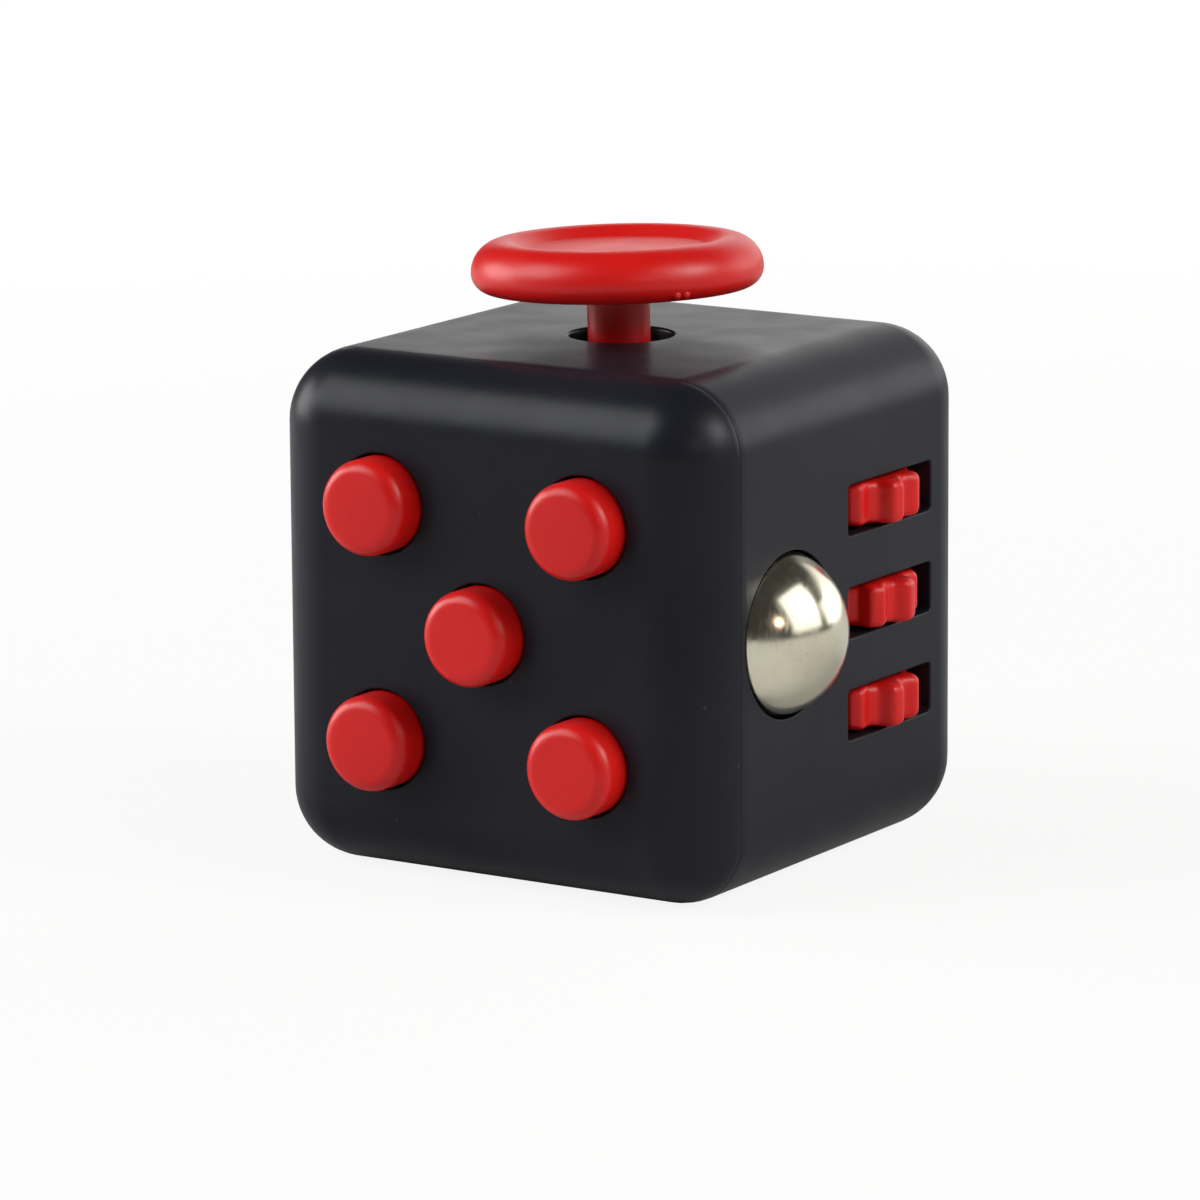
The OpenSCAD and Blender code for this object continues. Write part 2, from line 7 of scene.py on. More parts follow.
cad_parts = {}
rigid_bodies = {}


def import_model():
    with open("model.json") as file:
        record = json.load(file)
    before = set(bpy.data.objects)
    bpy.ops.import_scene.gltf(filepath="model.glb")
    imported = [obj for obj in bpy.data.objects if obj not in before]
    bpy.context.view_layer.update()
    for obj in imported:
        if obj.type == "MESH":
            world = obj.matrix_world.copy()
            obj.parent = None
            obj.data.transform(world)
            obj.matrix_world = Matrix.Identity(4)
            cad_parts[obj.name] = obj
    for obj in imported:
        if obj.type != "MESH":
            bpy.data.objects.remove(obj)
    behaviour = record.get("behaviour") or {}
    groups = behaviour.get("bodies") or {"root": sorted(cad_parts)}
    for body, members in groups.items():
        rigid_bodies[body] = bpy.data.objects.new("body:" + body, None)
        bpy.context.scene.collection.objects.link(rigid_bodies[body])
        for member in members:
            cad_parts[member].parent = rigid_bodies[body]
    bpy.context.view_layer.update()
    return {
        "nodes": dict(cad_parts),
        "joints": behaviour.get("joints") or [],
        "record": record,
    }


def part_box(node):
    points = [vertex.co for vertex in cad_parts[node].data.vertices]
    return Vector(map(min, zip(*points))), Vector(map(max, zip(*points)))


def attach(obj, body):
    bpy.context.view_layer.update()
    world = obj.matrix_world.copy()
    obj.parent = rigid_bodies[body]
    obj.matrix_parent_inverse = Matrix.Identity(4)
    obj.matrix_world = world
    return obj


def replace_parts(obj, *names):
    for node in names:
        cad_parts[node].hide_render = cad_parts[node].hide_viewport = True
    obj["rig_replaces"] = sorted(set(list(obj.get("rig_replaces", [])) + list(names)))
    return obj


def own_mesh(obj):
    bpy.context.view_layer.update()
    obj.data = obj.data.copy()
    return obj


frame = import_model()
print("frame loaded:", len(frame["nodes"]), "nodes")

# Every piece is drawn in millimetres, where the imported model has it, and made metres at the end
mm = 0.001
scene = bpy.context.scene
joints = {joint["name"]: joint for joint in frame["joints"]}


def boxInMm(node):
    low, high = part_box(node)
    return low / mm, high / mm


shellLow, shellHigh = boxInMm("main_shell")
coverLow, coverHigh = boxInMm("front_cover")
half = (shellHigh.x - shellLow.x) / 2  # from the cube's centre to a face
caseCentre = Vector(((shellLow.x + shellHigh.x) / 2, coverLow.y + half, (shellLow.z + shellHigh.z) / 2))


# Camera and studio

def towards(azimuth, elevation):
    a, e = math.radians(azimuth), math.radians(elevation)
    return Vector((math.sin(a) * math.cos(e), -math.cos(a) * math.cos(e), math.sin(e)))


cameraSettings = {
    "azimuth": 32.43,
    "elevation": 11.68,
    "roll": -0.356,
    "distance": 0.4513,
    "lens": 208.5,
    "sensor": 36,
    "shiftX": -0.0191,
    "shiftY": -0.0097,
}


def addCamera(settings):
    back = towards(settings["azimuth"], settings["elevation"])
    right = towards(settings["azimuth"] + 90, 0)
    turn = Matrix((right, back.cross(right), back)).transposed()
    turn = turn @ Matrix.Rotation(math.radians(settings["roll"]), 3, "Z")
    data = bpy.data.cameras.new("studioCamera")
    data.sensor_width = settings["sensor"]
    data.lens = settings["lens"]
    data.shift_x = settings["shiftX"]
    data.shift_y = settings["shiftY"]
    camera = bpy.data.objects.new("studioCamera", data)
    place = Matrix.Translation(caseCentre * mm + back * settings["distance"])
    camera.matrix_world = place @ turn.to_4x4()
    scene.collection.objects.link(camera)
    scene.camera = camera


softboxes = {  # all of them look at the cube; brightness is what a mirror would show
    "frontSoftbox": {"azimuth": -44, "elevation": 37, "size": (0.62, 0.62), "brightness": 5.5,
                     "tint": (0.97, 0.985, 1)},
    "leftSoftbox": {"azimuth": -78, "elevation": 14, "size": (0.56, 0.42), "brightness": 7.0,
                    "tint": (1, 1, 1)},
    "rightSoftbox": {"azimuth": 96, "elevation": 31, "size": (0.82, 0.88), "brightness": 1.4,
                     "tint": (1, 0.995, 0.985)},
    "rightCore": {"azimuth": 101, "elevation": 33, "size": (0.34, 0.34), "brightness": 10.5,
                  "tint": (1, 0.995, 0.985)},
    "rearSoftbox": {"azimuth": 146, "elevation": 14, "size": (0.6, 0.34), "brightness": 1.5,
                    "tint": (1, 1, 1)},
    "glintLamp": {"azimuth": 55, "elevation": 22, "size": (0.11, 0.11), "brightness": 12.0,
                  "tint": (1, 0.78, 0.66)},
}
softboxDistance = 0.95


def addSoftbox(name, settings):
    data = bpy.data.lights.new(name, "AREA")
    data.shape = "RECTANGLE"
    data.size, data.size_y = settings["size"]
    data.energy = settings["brightness"] * math.pi * data.size * data.size_y
    data.color = settings["tint"]
    lamp = bpy.data.objects.new(name, data)
    out = towards(settings["azimuth"], settings["elevation"])
    lamp.matrix_world = (Matrix.Translation(caseCentre * mm + out * softboxDistance)
                         @ out.to_track_quat("Z", "Y").to_matrix().to_4x4())
    lamp.visible_camera = False
    scene.collection.objects.link(lamp)


# Node trees, for materials and for the world

def addNode(tree, kind, inputs=None, **options):
    node = tree.nodes.new(kind)
    for option, value in options.items():
        setattr(node, option, value)
    for socket, value in (inputs or {}).items():
        target = node.inputs[socket]
        if isinstance(value, bpy.types.NodeSocket):
            tree.links.new(value, target)
        else:
            target.default_value = value
    return node


def addMath(tree, operation, *values):
    return addNode(tree, "ShaderNodeMath", dict(enumerate(values)), operation=operation).outputs[0]


def addRange(tree, value, low, high, toLow=0.0, toHigh=1.0, smooth=True):
    inputs = {"Value": value, "From Min": low, "From Max": high, "To Min": toLow, "To Max": toHigh}
    return addNode(tree, "ShaderNodeMapRange", inputs,
                   interpolation_type="SMOOTHSTEP" if smooth else "LINEAR").outputs["Result"]


def addMix(tree, factor, first, second):
    node = tree.nodes.new("ShaderNodeMix")
    node.data_type = "RGBA"
    for socket, value in zip((node.inputs[0], node.inputs[6], node.inputs[7]), (factor, first, second)):
        if isinstance(value, bpy.types.NodeSocket):
            tree.links.new(value, socket)
        else:
            socket.default_value = value
    return node.outputs[2]


worldSettings = {
    "surroundings": (0.04, 0.037, 0.036, 1),
    "backdrop": (1.3, 1.3, 1.29, 1),
    "backdropEdge": (0.66, 0.86),  # cosine of the angle away from straight behind
    "backdropTop": (0.42, 0.66),  # sine of the elevation where it ends
    "seenByCamera": (1, 1, 1, 1),
}


def addWorld(settings):
    world = bpy.data.worlds.new("studio")
    world.use_nodes = True
    tree = world.node_tree
    tree.nodes.clear()
    way = addNode(tree, "ShaderNodeTexCoord").outputs["Generated"]
    axes = addNode(tree, "ShaderNodeSeparateXYZ", {"Vector": way}).outputs
    behind = addRange(tree, axes["Y"], *settings["backdropEdge"])
    below = addRange(tree, axes["Z"], *settings["backdropTop"], 1.0, 0.0)
    mask = addMath(tree, "MULTIPLY", behind, below)
    light = addMix(tree, mask, settings["surroundings"], settings["backdrop"])
    camera = addNode(tree, "ShaderNodeLightPath").outputs["Is Camera Ray"]
    shown = addMix(tree, camera, light, settings["seenByCamera"])
    back = addNode(tree, "ShaderNodeBackground", {"Color": shown})
    out = tree.nodes.new("ShaderNodeOutputWorld")
    tree.links.new(back.outputs[0], out.inputs["Surface"])
    scene.world = world


addCamera(cameraSettings)
addWorld(worldSettings)
for name, softbox in softboxes.items():
    addSoftbox(name, softbox)
scene.view_settings.view_transform = "Standard"
print("camera and lights set")


# Materials

def newMaterial(name):
    material = bpy.data.materials.new(name)
    material.use_nodes = True
    tree = material.node_tree
    shader = tree.nodes["Principled BSDF"]
    return material, tree, shader


def addNoise(tree, vector, scale, detail=2.0, roughness=0.5):
    inputs = {"Vector": vector, "Scale": scale, "Detail": detail, "Roughness": roughness}
    return addNode(tree, "ShaderNodeTexNoise", inputs).outputs["Fac"]


def addBump(tree, height, strength, distance, before=None):
    inputs = {"Height": height, "Strength": strength, "Distance": distance}
    if before is not None:
        inputs["Normal"] = before
    return addNode(tree, "ShaderNodeBump", inputs).outputs["Normal"]


def objectPoint(tree):
    return addNode(tree, "ShaderNodeTexCoord").outputs["Object"]


def stretched(tree, vector, scale, turn=(0, 0, 0)):
    return addNode(tree, "ShaderNodeMapping", {"Vector": vector, "Scale": scale, "Rotation": turn}).outputs[0]


plasticSettings = {
    "case": {
        "dark": (0.0098, 0.0106, 0.0156, 1),
        "pale": (0.0122, 0.0130, 0.0184, 1),
        "speck": (0.035, 0.036, 0.04, 1),
        "roughness": (0.32, 0.36),
        "specular": 0.17,
        "waveDepth": 0.000002,
        "grainScale": 7000,
        "grainDepth": 0.000004,
        "speckScale": 900,
        "speckSize": 0.06,
        "speckShare": 0.03,
        "hairShare": 0.6,
        "hairRough": 0.05,
    },
    "red": {
        "dark": (0.60, 0.0060, 0.0048, 1),
        "pale": (0.66, 0.0085, 0.0066, 1),
        "speck": (0.64, 0.008, 0.009, 1),
        "roughness": (0.33, 0.39),
        "specular": 0.36,
        "glow": 0.12,  # how far light soaks in at thin edges
        "waveDepth": 0.000004,
        "grainScale": 5200,
        "grainDepth": 0.000003,
        "speckScale": 620,
        "speckSize": 0.05,
        "speckShare": 0.01,
        "hairShare": 0.66,
        "hairRough": 0.06,
    },
    "inner": {
        "dark": (0.03, 0.031, 0.034, 1),
        "pale": (0.042, 0.043, 0.047, 1),
        "speck": (0.12, 0.12, 0.12, 1),
        "roughness": (0.45, 0.6),
        "specular": 0.4,
        "waveDepth": 0.000008,
        "grainScale": 5000,
        "grainDepth": 0.000006,
        "speckScale": 600,
        "speckSize": 0.08,
        "speckShare": 0.03,
        "hairShare": 0.6,
        "hairRough": 0.1,
    },
}


hairSettings = {
    "ways": [{"stretch": (1, 1.2, 14), "turn": (0.4, 0.7, 1.1), "scale": 26},
             {"stretch": (1.1, 12, 1), "turn": (0.9, 0.3, 0.2), "scale": 24}],
    "noiseRoughness": 0.4,
    "width": (0.0008, 0.003),
    "patchScale": 160,
    "patchFade": 0.08,
}


def hairlines(tree, point, share):
    # Thin rubbed lines: a narrow band of a stretched noise, kept in a few patches
    h = hairSettings
    lines = []
    for way in h["ways"]:
        grain = stretched(tree, point, way["stretch"], way["turn"])
        noise = addNoise(tree, grain, way["scale"], 0, h["noiseRoughness"])
        off = addMath(tree, "ABSOLUTE", addMath(tree, "SUBTRACT", noise, 0.5))
        lines.append(addRange(tree, off, *h["width"], 1.0, 0.0))
    patches = addRange(tree, addNoise(tree, point, h["patchScale"], 2), share, share + h["patchFade"])
    return addMath(tree, "MULTIPLY", addMath(tree, "MAXIMUM", *lines), patches)


skinSettings = {  # what all the plastics share
    "cloudScale": 90,
    "cloudRange": (0.35, 0.65),
    "flowScale": 300,
    "flowRange": (0.3, 0.7),
    "flowRoughness": 0.45,
    "grainRoughness": 0.6,
    "bump": 0.5,
    "dustRough": 0.2,
    "glowRadius": (1.0, 0.12, 0.1),
    "glowDepth": 0.0007,
}


def mouldedPlastic(name, settings):
    material, tree, shader = newMaterial(name)
    point = objectPoint(tree)
    skin = skinSettings
    cloud = addNoise(tree, point, skin["cloudScale"], 3)
    fine = addNoise(tree, point, settings["grainScale"], 2, skin["grainRoughness"])
    flow = addNoise(tree, point, skin["flowScale"], 2, skin["flowRoughness"])
    base = addMix(tree, addRange(tree, cloud, *skin["cloudRange"]), settings["dark"], settings["pale"])

    # Dust: tiny dots in a few of the cells of a loose grid
    cells = addNode(tree, "ShaderNodeTexVoronoi", {"Vector": point, "Scale": settings["speckScale"]})
    chance = addNode(tree, "ShaderNodeSeparateColor", {"Color": cells.outputs["Color"]}).outputs["Red"]
    few = addMath(tree, "LESS_THAN", chance, settings["speckShare"])
    size = settings["speckSize"]
    dot = addRange(tree, cells.outputs["Distance"], size, size * 2, 1.0, 0.0)
    dust = addMath(tree, "MULTIPLY", few, dot)
    tree.links.new(addMix(tree, dust, base, settings["speck"]), shader.inputs["Base Color"])

    # Satin skin, smoother in soft patches and rougher along hairlines
    smooth, rough = settings["roughness"]
    rubbed = addRange(tree, flow, *skin["flowRange"], smooth, rough)
    hairs = hairlines(tree, point, settings["hairShare"])
    marks = addMath(tree, "MAXIMUM", addMath(tree, "MULTIPLY", hairs, settings["hairRough"]),
                    addMath(tree, "MULTIPLY", dust, skin["dustRough"]))
    tree.links.new(addMath(tree, "ADD", rubbed, marks), shader.inputs["Roughness"])
    shader.inputs["Specular IOR Level"].default_value = settings["specular"]
    if "glow" in settings:
        shader.inputs["Subsurface Weight"].default_value = settings["glow"]
        shader.inputs["Subsurface Radius"].default_value = skin["glowRadius"]
        shader.inputs["Subsurface Scale"].default_value = skin["glowDepth"]
    wave = addBump(tree, flow, skin["bump"], settings["waveDepth"])
    grain = addBump(tree, fine, skin["bump"], settings["grainDepth"], wave)
    tree.links.new(grain, shader.inputs["Normal"])
    return material


steelSettings = {
    "ball": {
        "colour": (0.85, 0.81, 0.645, 1),
        "shade": (0.76, 0.71, 0.55, 1),
        "roughness": (0.14, 0.23),
        "smudge": 0.08,
        "scratchScale": 900,
        "scratchDepth": 0.0000014,
    },
    "screw": {
        "colour": (0.56, 0.56, 0.55, 1),
        "shade": (0.46, 0.46, 0.45, 1),
        "roughness": (0.22, 0.38),
        "smudge": 0.05,
        "scratchScale": 3000,
        "scratchDepth": 0.000003,
    },
    "spring": {
        "colour": (0.48, 0.48, 0.46, 1),
        "shade": (0.40, 0.39, 0.37, 1),
        "roughness": (0.25, 0.42),
        "smudge": 0.05,
        "scratchScale": 2400,
        "scratchDepth": 0.000003,
    },
}
scratchSettings = {
    "ways": [{"stretch": (1, 9, 1), "turn": (0.5, 0.2, 0.9)}, {"stretch": (8, 1, 1), "turn": (0.1, 0.8, 0.3)}],
    "noiseRoughness": 0.7,
    "range": (0.45, 0.75),
    "bump": 0.6,
    "cloudScale": 260,
    "cloudRoughness": 0.6,
    "cloudRange": (0.35, 0.7),
}


def workedSteel(name, settings):
    material, tree, shader = newMaterial(name)
    point = objectPoint(tree)
    w = scratchSettings
    wear = addRange(tree, addNoise(tree, point, w["cloudScale"], 4, w["cloudRoughness"]), *w["cloudRange"])
    tree.links.new(addMix(tree, wear, settings["colour"], settings["shade"]), shader.inputs["Base Color"])
    shader.inputs["Metallic"].default_value = 1.0
    hairs = [addNoise(tree, stretched(tree, point, way["stretch"], way["turn"]), settings["scratchScale"], 3,
                      w["noiseRoughness"]) for way in w["ways"]]
    lines = addMath(tree, "MAXIMUM", *hairs)
    polish = addRange(tree, lines, *w["range"], *settings["roughness"])
    smudges = addMath(tree, "MULTIPLY", wear, settings["smudge"])
    tree.links.new(addMath(tree, "ADD", polish, smudges), shader.inputs["Roughness"])
    tree.links.new(addBump(tree, lines, w["bump"], settings["scratchDepth"]), shader.inputs["Normal"])
    return material


siliconeSettings = {
    "shade": (0.66, 0.65, 0.60, 1),
    "colour": (0.76, 0.75, 0.71, 1),
    "cloudScale": 500,
    "roughness": (0.5, 0.65),
    "glow": 0.3,
    "glowDepth": 0.0006,
    "grainScale": 4000,
    "grainDepth": 0.000005,
    "bump": 0.4,
}


def softSilicone(name, settings):
    material, tree, shader = newMaterial(name)
    point = objectPoint(tree)
    cloud = addNoise(tree, point, settings["cloudScale"], 3)
    tree.links.new(addMix(tree, cloud, settings["shade"], settings["colour"]), shader.inputs["Base Color"])
    dull = addRange(tree, cloud, *skinSettings["flowRange"], *settings["roughness"])
    tree.links.new(dull, shader.inputs["Roughness"])
    shader.inputs["Subsurface Weight"].default_value = settings["glow"]
    shader.inputs["Subsurface Scale"].default_value = settings["glowDepth"]
    grain = addNoise(tree, point, settings["grainScale"])
    tree.links.new(addBump(tree, grain, settings["bump"], settings["grainDepth"]), shader.inputs["Normal"])
    return material


floorSettings = {
    "colour": (0.60, 0.60, 0.595, 1),
    "cloudColour": (0.615, 0.615, 0.61, 1),
    "cloudScale": 30,
    "roughness": 0.9,
    "specular": 0.1,
    "white": (1.03, 1.03, 1.025, 1),
    "whiteNear": 0.86,  # how far the sweep is burnt out by the cube, where its shadow lies
    "fade": (0.06, 0.4),
    "size": 4.0,
    "drop": 0.00005,
}


def paleFloor(name, settings):
    material, tree, shader = newMaterial(name)
    point = objectPoint(tree)
    cloud = addNoise(tree, point, settings["cloudScale"], 4)
    colour = addMix(tree, cloud, settings["colour"], settings["cloudColour"])
    tree.links.new(colour, shader.inputs["Base Color"])
    shader.inputs["Roughness"].default_value = settings["roughness"]
    shader.inputs["Specular IOR Level"].default_value = settings["specular"]
    # The sweep is seen as white, with a faint shadow by the cube, and lights the cube as a pale surface does
    white = addNode(tree, "ShaderNodeEmission", {"Color": settings["white"]})
    reach = addNode(tree, "ShaderNodeVectorMath", {0: point}, operation="LENGTH").outputs["Value"]
    burnt = addRange(tree, reach, *settings["fade"], settings["whiteNear"], 1.0)
    camera = addNode(tree, "ShaderNodeLightPath").outputs["Is Camera Ray"]
    seen = addNode(tree, "ShaderNodeMixShader", {
        0: addMath(tree, "MULTIPLY", camera, burnt), 1: shader.outputs[0], 2: white.outputs[0]})
    # From underneath it is clear, so that the base can be looked at
    clear = tree.nodes.new("ShaderNodeBsdfTransparent")
    underneath = tree.nodes.new("ShaderNodeNewGeometry").outputs["Backfacing"]
    shown = addNode(tree, "ShaderNodeMixShader", {0: underneath, 1: seen.outputs[0], 2: clear.outputs[0]})
    tree.links.new(shown.outputs[0], tree.nodes["Material Output"].inputs["Surface"])
    return material


casePlastic = mouldedPlastic("casePlastic", plasticSettings["case"])
redPlastic = mouldedPlastic("redPlastic", plasticSettings["red"])
innerPlastic = mouldedPlastic("innerPlastic", plasticSettings["inner"])
ballSteel = workedSteel("ballSteel", steelSettings["ball"])
screwSteel = workedSteel("screwSteel", steelSettings["screw"])
springSteel = workedSteel("springSteel", steelSettings["spring"])
silicone = softSilicone("silicone", siliconeSettings)
finishes = {
    "case_black": casePlastic,
    "red_plastic": redPlastic,
    "inner_plastic": innerPlastic,
    "ball_steel": ballSteel,
    "screw_steel": screwSteel,
    "spring_steel": springSteel,
    "silicone": silicone,
}
print("materials made:", len(finishes))


# Places: each face has its own frame, with z = 0 on its surface and z pointing out

faceAxes = {
    "front": ((1, 0, 0), (0, 0, 1), (0, -1, 0)),
    "back": ((-1, 0, 0), (0, 0, 1), (0, 1, 0)),
    "right": ((0, 1, 0), (0, 0, 1), (1, 0, 0)),
    "left": ((0, -1, 0), (0, 0, 1), (-1, 0, 0)),
    "top": ((1, 0, 0), (0, 1, 0), (0, 0, 1)),
    "bottom": ((1, 0, 0), (0, -1, 0), (0, 0, -1)),
}


def onFace(face, x=0.0, y=0.0, z=0.0):
    across, up, out = (Vector(axis) for axis in faceAxes[face])
    turn = Matrix((across, up, out)).transposed().to_4x4()
    return Matrix.Translation(caseCentre + out * half) @ turn @ Matrix.Translation((x, y, z))


def axlePoint(name):
    return Vector(joints[name]["pos_m"]) / mm


# Mesh making

tiny = 1e-6
weldDistance = 0.0004  # points closer than this become one
overcut = 0.05  # how far a cutter runs past what it cuts
evenRound = {"offset_type": "OFFSET", "profile": 0.5, "affect": "EDGES"}

def filleted(corners, steps=6):  # an outline from (x, y, fillet radius) corners
    points = []
    for index, (x, y, radius) in enumerate(corners):
        here = Vector((x, y))
        if radius == 0 or index in (0, len(corners) - 1):
            points.append(here)
            continue
        before = (Vector(corners[index - 1][:2]) - here).normalized()
        after = (Vector(corners[index + 1][:2]) - here).normalized()
        opening = before.angle(after) / 2
        centre = here + (before + after).normalized() * radius / math.sin(opening)
        start = here + before * radius / math.tan(opening) - centre
        end = here + after * radius / math.tan(opening) - centre
        sweep = start.angle_signed(end)
        for step in range(steps + 1):
            points.append(centre + Matrix.Rotation(-sweep * step / steps, 2) @ start)
    return points


def addTurned(mesh, outline, place, segments=96):
    rings = []
    for r, z in outline:
        if r < tiny:
            rings.append([mesh.verts.new(place @ Vector((0, 0, z)))])
            continue
        angles = (2 * math.pi * step / segments for step in range(segments))
        rings.append([mesh.verts.new(place @ Vector((r * math.cos(a), r * math.sin(a), z))) for a in angles])
    for low, high in zip(rings, rings[1:]):
        for i in range(segments):
            j = (i + 1) % segments
            if len(low) == 1:
                mesh.faces.new((low[0], high[j], high[i]))
            elif len(high) == 1:
                mesh.faces.new((low[i], low[j], high[0]))
            else:
                mesh.faces.new((low[i], low[j], high[j], high[i]))


def addStack(mesh, rings, place):  # joins equal rings one after another and caps both ends
    layers = [[mesh.verts.new(place @ Vector(point)) for point in ring] for ring in rings]
    count = len(layers[0])
    for low, high in zip(layers, layers[1:]):
        for i in range(count):
            j = (i + 1) % count
            mesh.faces.new((low[i], low[j], high[j], high[i]))
    mesh.faces.new(layers[0][::-1])
    mesh.faces.new(layers[-1])


def addBar(mesh, r, low, high, place, segments=48):
    addTurned(mesh, [(0, low), (r, low), (r, high), (0, high)], place, segments)


def addBlock(mesh, low, high, place):
    corners = [(low[0], low[1]), (high[0], low[1]), (high[0], high[1]), (low[0], high[1])]
    addStack(mesh, [[(x, y, z) for x, y in corners] for z in (low[2], high[2])], place)


def roundedRectangle(halfX, halfY, corner, z, steps=6):
    points = []
    for quarter in range(4):
        signX = 1 if quarter in (0, 3) else -1
        signY = 1 if quarter in (0, 1) else -1
        for step in range(steps + 1):
            a = math.pi / 2 * (quarter + step / steps)
            points.append((signX * (halfX - corner) + corner * math.cos(a),
                           signY * (halfY - corner) + corner * math.sin(a), z))
    return points


def newPiece(name, mesh):
    bmesh.ops.recalc_face_normals(mesh, faces=mesh.faces)
    data = bpy.data.meshes.new(name)
    mesh.to_mesh(data)
    mesh.free()
    piece = bpy.data.objects.new(name, data)
    scene.collection.objects.link(piece)
    return piece


def settle(piece):  # turns the modifiers into plain mesh
    graph = bpy.context.evaluated_depsgraph_get()
    graph.update()
    data = bpy.data.meshes.new_from_object(piece.evaluated_get(graph))
    data.name = piece.name
    piece.modifiers.clear()
    piece.data = data


def combine(piece, tool, operation):
    step = piece.modifiers.new(operation, "BOOLEAN")
    step.operation = operation
    step.solver = "EXACT"
    step.object = tool
    settle(piece)
    bpy.data.objects.remove(tool)


def finishPiece(piece, body, slot, *nodes, sharpAngle=32, place=None):
    mesh = bmesh.new()
    mesh.from_mesh(piece.data)
    bmesh.ops.remove_doubles(mesh, verts=mesh.verts, dist=weldDistance)
    bmesh.ops.dissolve_degenerate(mesh, edges=mesh.edges, dist=weldDistance)
    bmesh.ops.recalc_face_normals(mesh, faces=mesh.faces)
    mesh.to_mesh(piece.data)
    mesh.free()
    piece.data.transform(Matrix.Scale(mm, 4) @ (place or Matrix()))
    piece.data.shade_smooth()
    piece.data.set_sharp_from_angle(angle=math.radians(sharpAngle))
    weigh = piece.modifiers.new("weigh", "WEIGHTED_NORMAL")
    weigh.keep_sharp = True
    settle(piece)
    piece.data.materials.clear()
    piece.data.materials.append(finishes[slot])
    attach(piece, body)
    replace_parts(piece, *nodes)
    print("made", piece.name, len(piece.data.polygons), "faces")


# Case: a main shell and a front cover, which meet on one parting line

caseSettings = {
    "edgeRound": 4.8,
    "edgeSegments": 14,
    "wall": 2.0,
    "insideSegments": 8,
    "seamGap": 0.012,
    "seamRound": 0.016,
    "lift": 0.004,  # how far a cutter's lip stands above the surface it rounds
    "flare": 0.5,  # how much wider a cutter is above the surface
    "lipRound": 0.14,
    "buttonHole": 3.25,
    "stemHole": 3.4,
    "stemLip": 0.2,
    "seatRadius": 5.72,
    "seatLip": 0.09,
    "seatSteps": 8,
    "slot": {"halfLength": 5.22, "halfHeight": 1.635, "corner": 0.3, "shift": -0.22},
    "recess": {"radius": 8.25, "depth": 1.0, "round": 0.2, "spindleHole": 2.05, "pad": 3.0, "padRim": 1.75},
    "pocket": {"halfWidth": 3.0, "swing": 6.3, "corner": 0.25, "rowHeight": 0.25},
    "dish": {"radius": 10.0, "depth": 1.6, "lip": 1.2, "rim": 1.0, "steps": 12},
    "peg": {"at": 12.7, "radius": 1.0, "length": 2.6, "tipRound": 0.25, "rootRound": 0.2, "root": 1.9,
            "rootShare": 0.65, "boss": 2.4, "socket": 2.9, "floor": 1.0, "clearance": 0.02},
    "boss": {"radius": 1.65, "pilot": 0.72, "bite": 2.4, "wallBite": 1.2},
    "screwsAt": {"button": 8.5, "ball": 8.2, "wheel": 10.85, "rocker": 8.4, "joystick": 6.6},
    "lip": {"half": 9.8, "breakHalf": 7.0, "out": 14.6, "thickness": 0.7, "length": 1.1, "rooted": 0.9},
    "sides": {"pilot": 24, "peg": 32, "dish": 128, "pad": 96},
}
# The parting line, counted from the front face; the cover's box runs on to the tips of its pegs
seamDepth = coverHigh.y - coverLow.y - caseSettings["peg"]["length"]
casePegs = [(x * caseSettings["peg"]["at"], y * caseSettings["peg"]["at"]) for x in (-1, 1) for y in (-1, 1)]
buttonSpots = {}
for spot in ("upper_left", "upper_right", "centre", "lower_left", "lower_right"):
    low, high = boxInMm("button_" + spot)
    buttonSpots[spot] = ((low.x + high.x) / 2 - caseCentre.x, (low.z + high.z) / 2 - caseCentre.z)
ballLow, ballHigh = boxInMm("ball")
ballCentre = (ballLow + ballHigh) / 2
ballPlace = (ballCentre.y - caseCentre.y, ballCentre.z - caseCentre.z, ballCentre.x - caseCentre.x - half)
wheelNames = ("wheel_upper", "wheel_middle", "wheel_lower")
wheelPoints = {name: axlePoint(name + "_spin") for name in wheelNames}
rockerPoint = axlePoint("rocker_flip")
screwsAt = caseSettings["screwsAt"]
wheelAlong = wheelPoints["wheel_middle"].y - caseCentre.y
screwSpots = {
    "button": [(0, screwsAt["button"]), (0, -screwsAt["button"]), (-screwsAt["button"], 0)],
    "joystick": [(x * screwsAt["joystick"], y * screwsAt["joystick"]) for x in (-1, 1) for y in (-1, 1)],
    "ball": [(ballPlace[0], side * screwsAt["ball"]) for side in (-1, 1)],
    "wheel": [(wheelAlong, side * screwsAt["wheel"]) for side in (-1, 1)],
    "rocker": [(0, side * screwsAt["rocker"]) for side in (-1, 1)],
}
plateFront = coverLow.y - boxInMm("button_plate")[0].y  # in the front face's frame
seatFront = boxInMm("ball_dome")[0].x - caseCentre.x - half
rockerPlate = -half - boxInMm("rocker_leaf")[1].x + caseCentre.x


def roundedCube(length, radius, segments):
    mesh = bmesh.new()
    bmesh.ops.create_cube(mesh, size=length, matrix=Matrix.Translation(caseCentre))
    bmesh.ops.bevel(mesh, geom=mesh.edges[:], offset=radius, segments=segments, clamp_overlap=False, **evenRound)
    return mesh


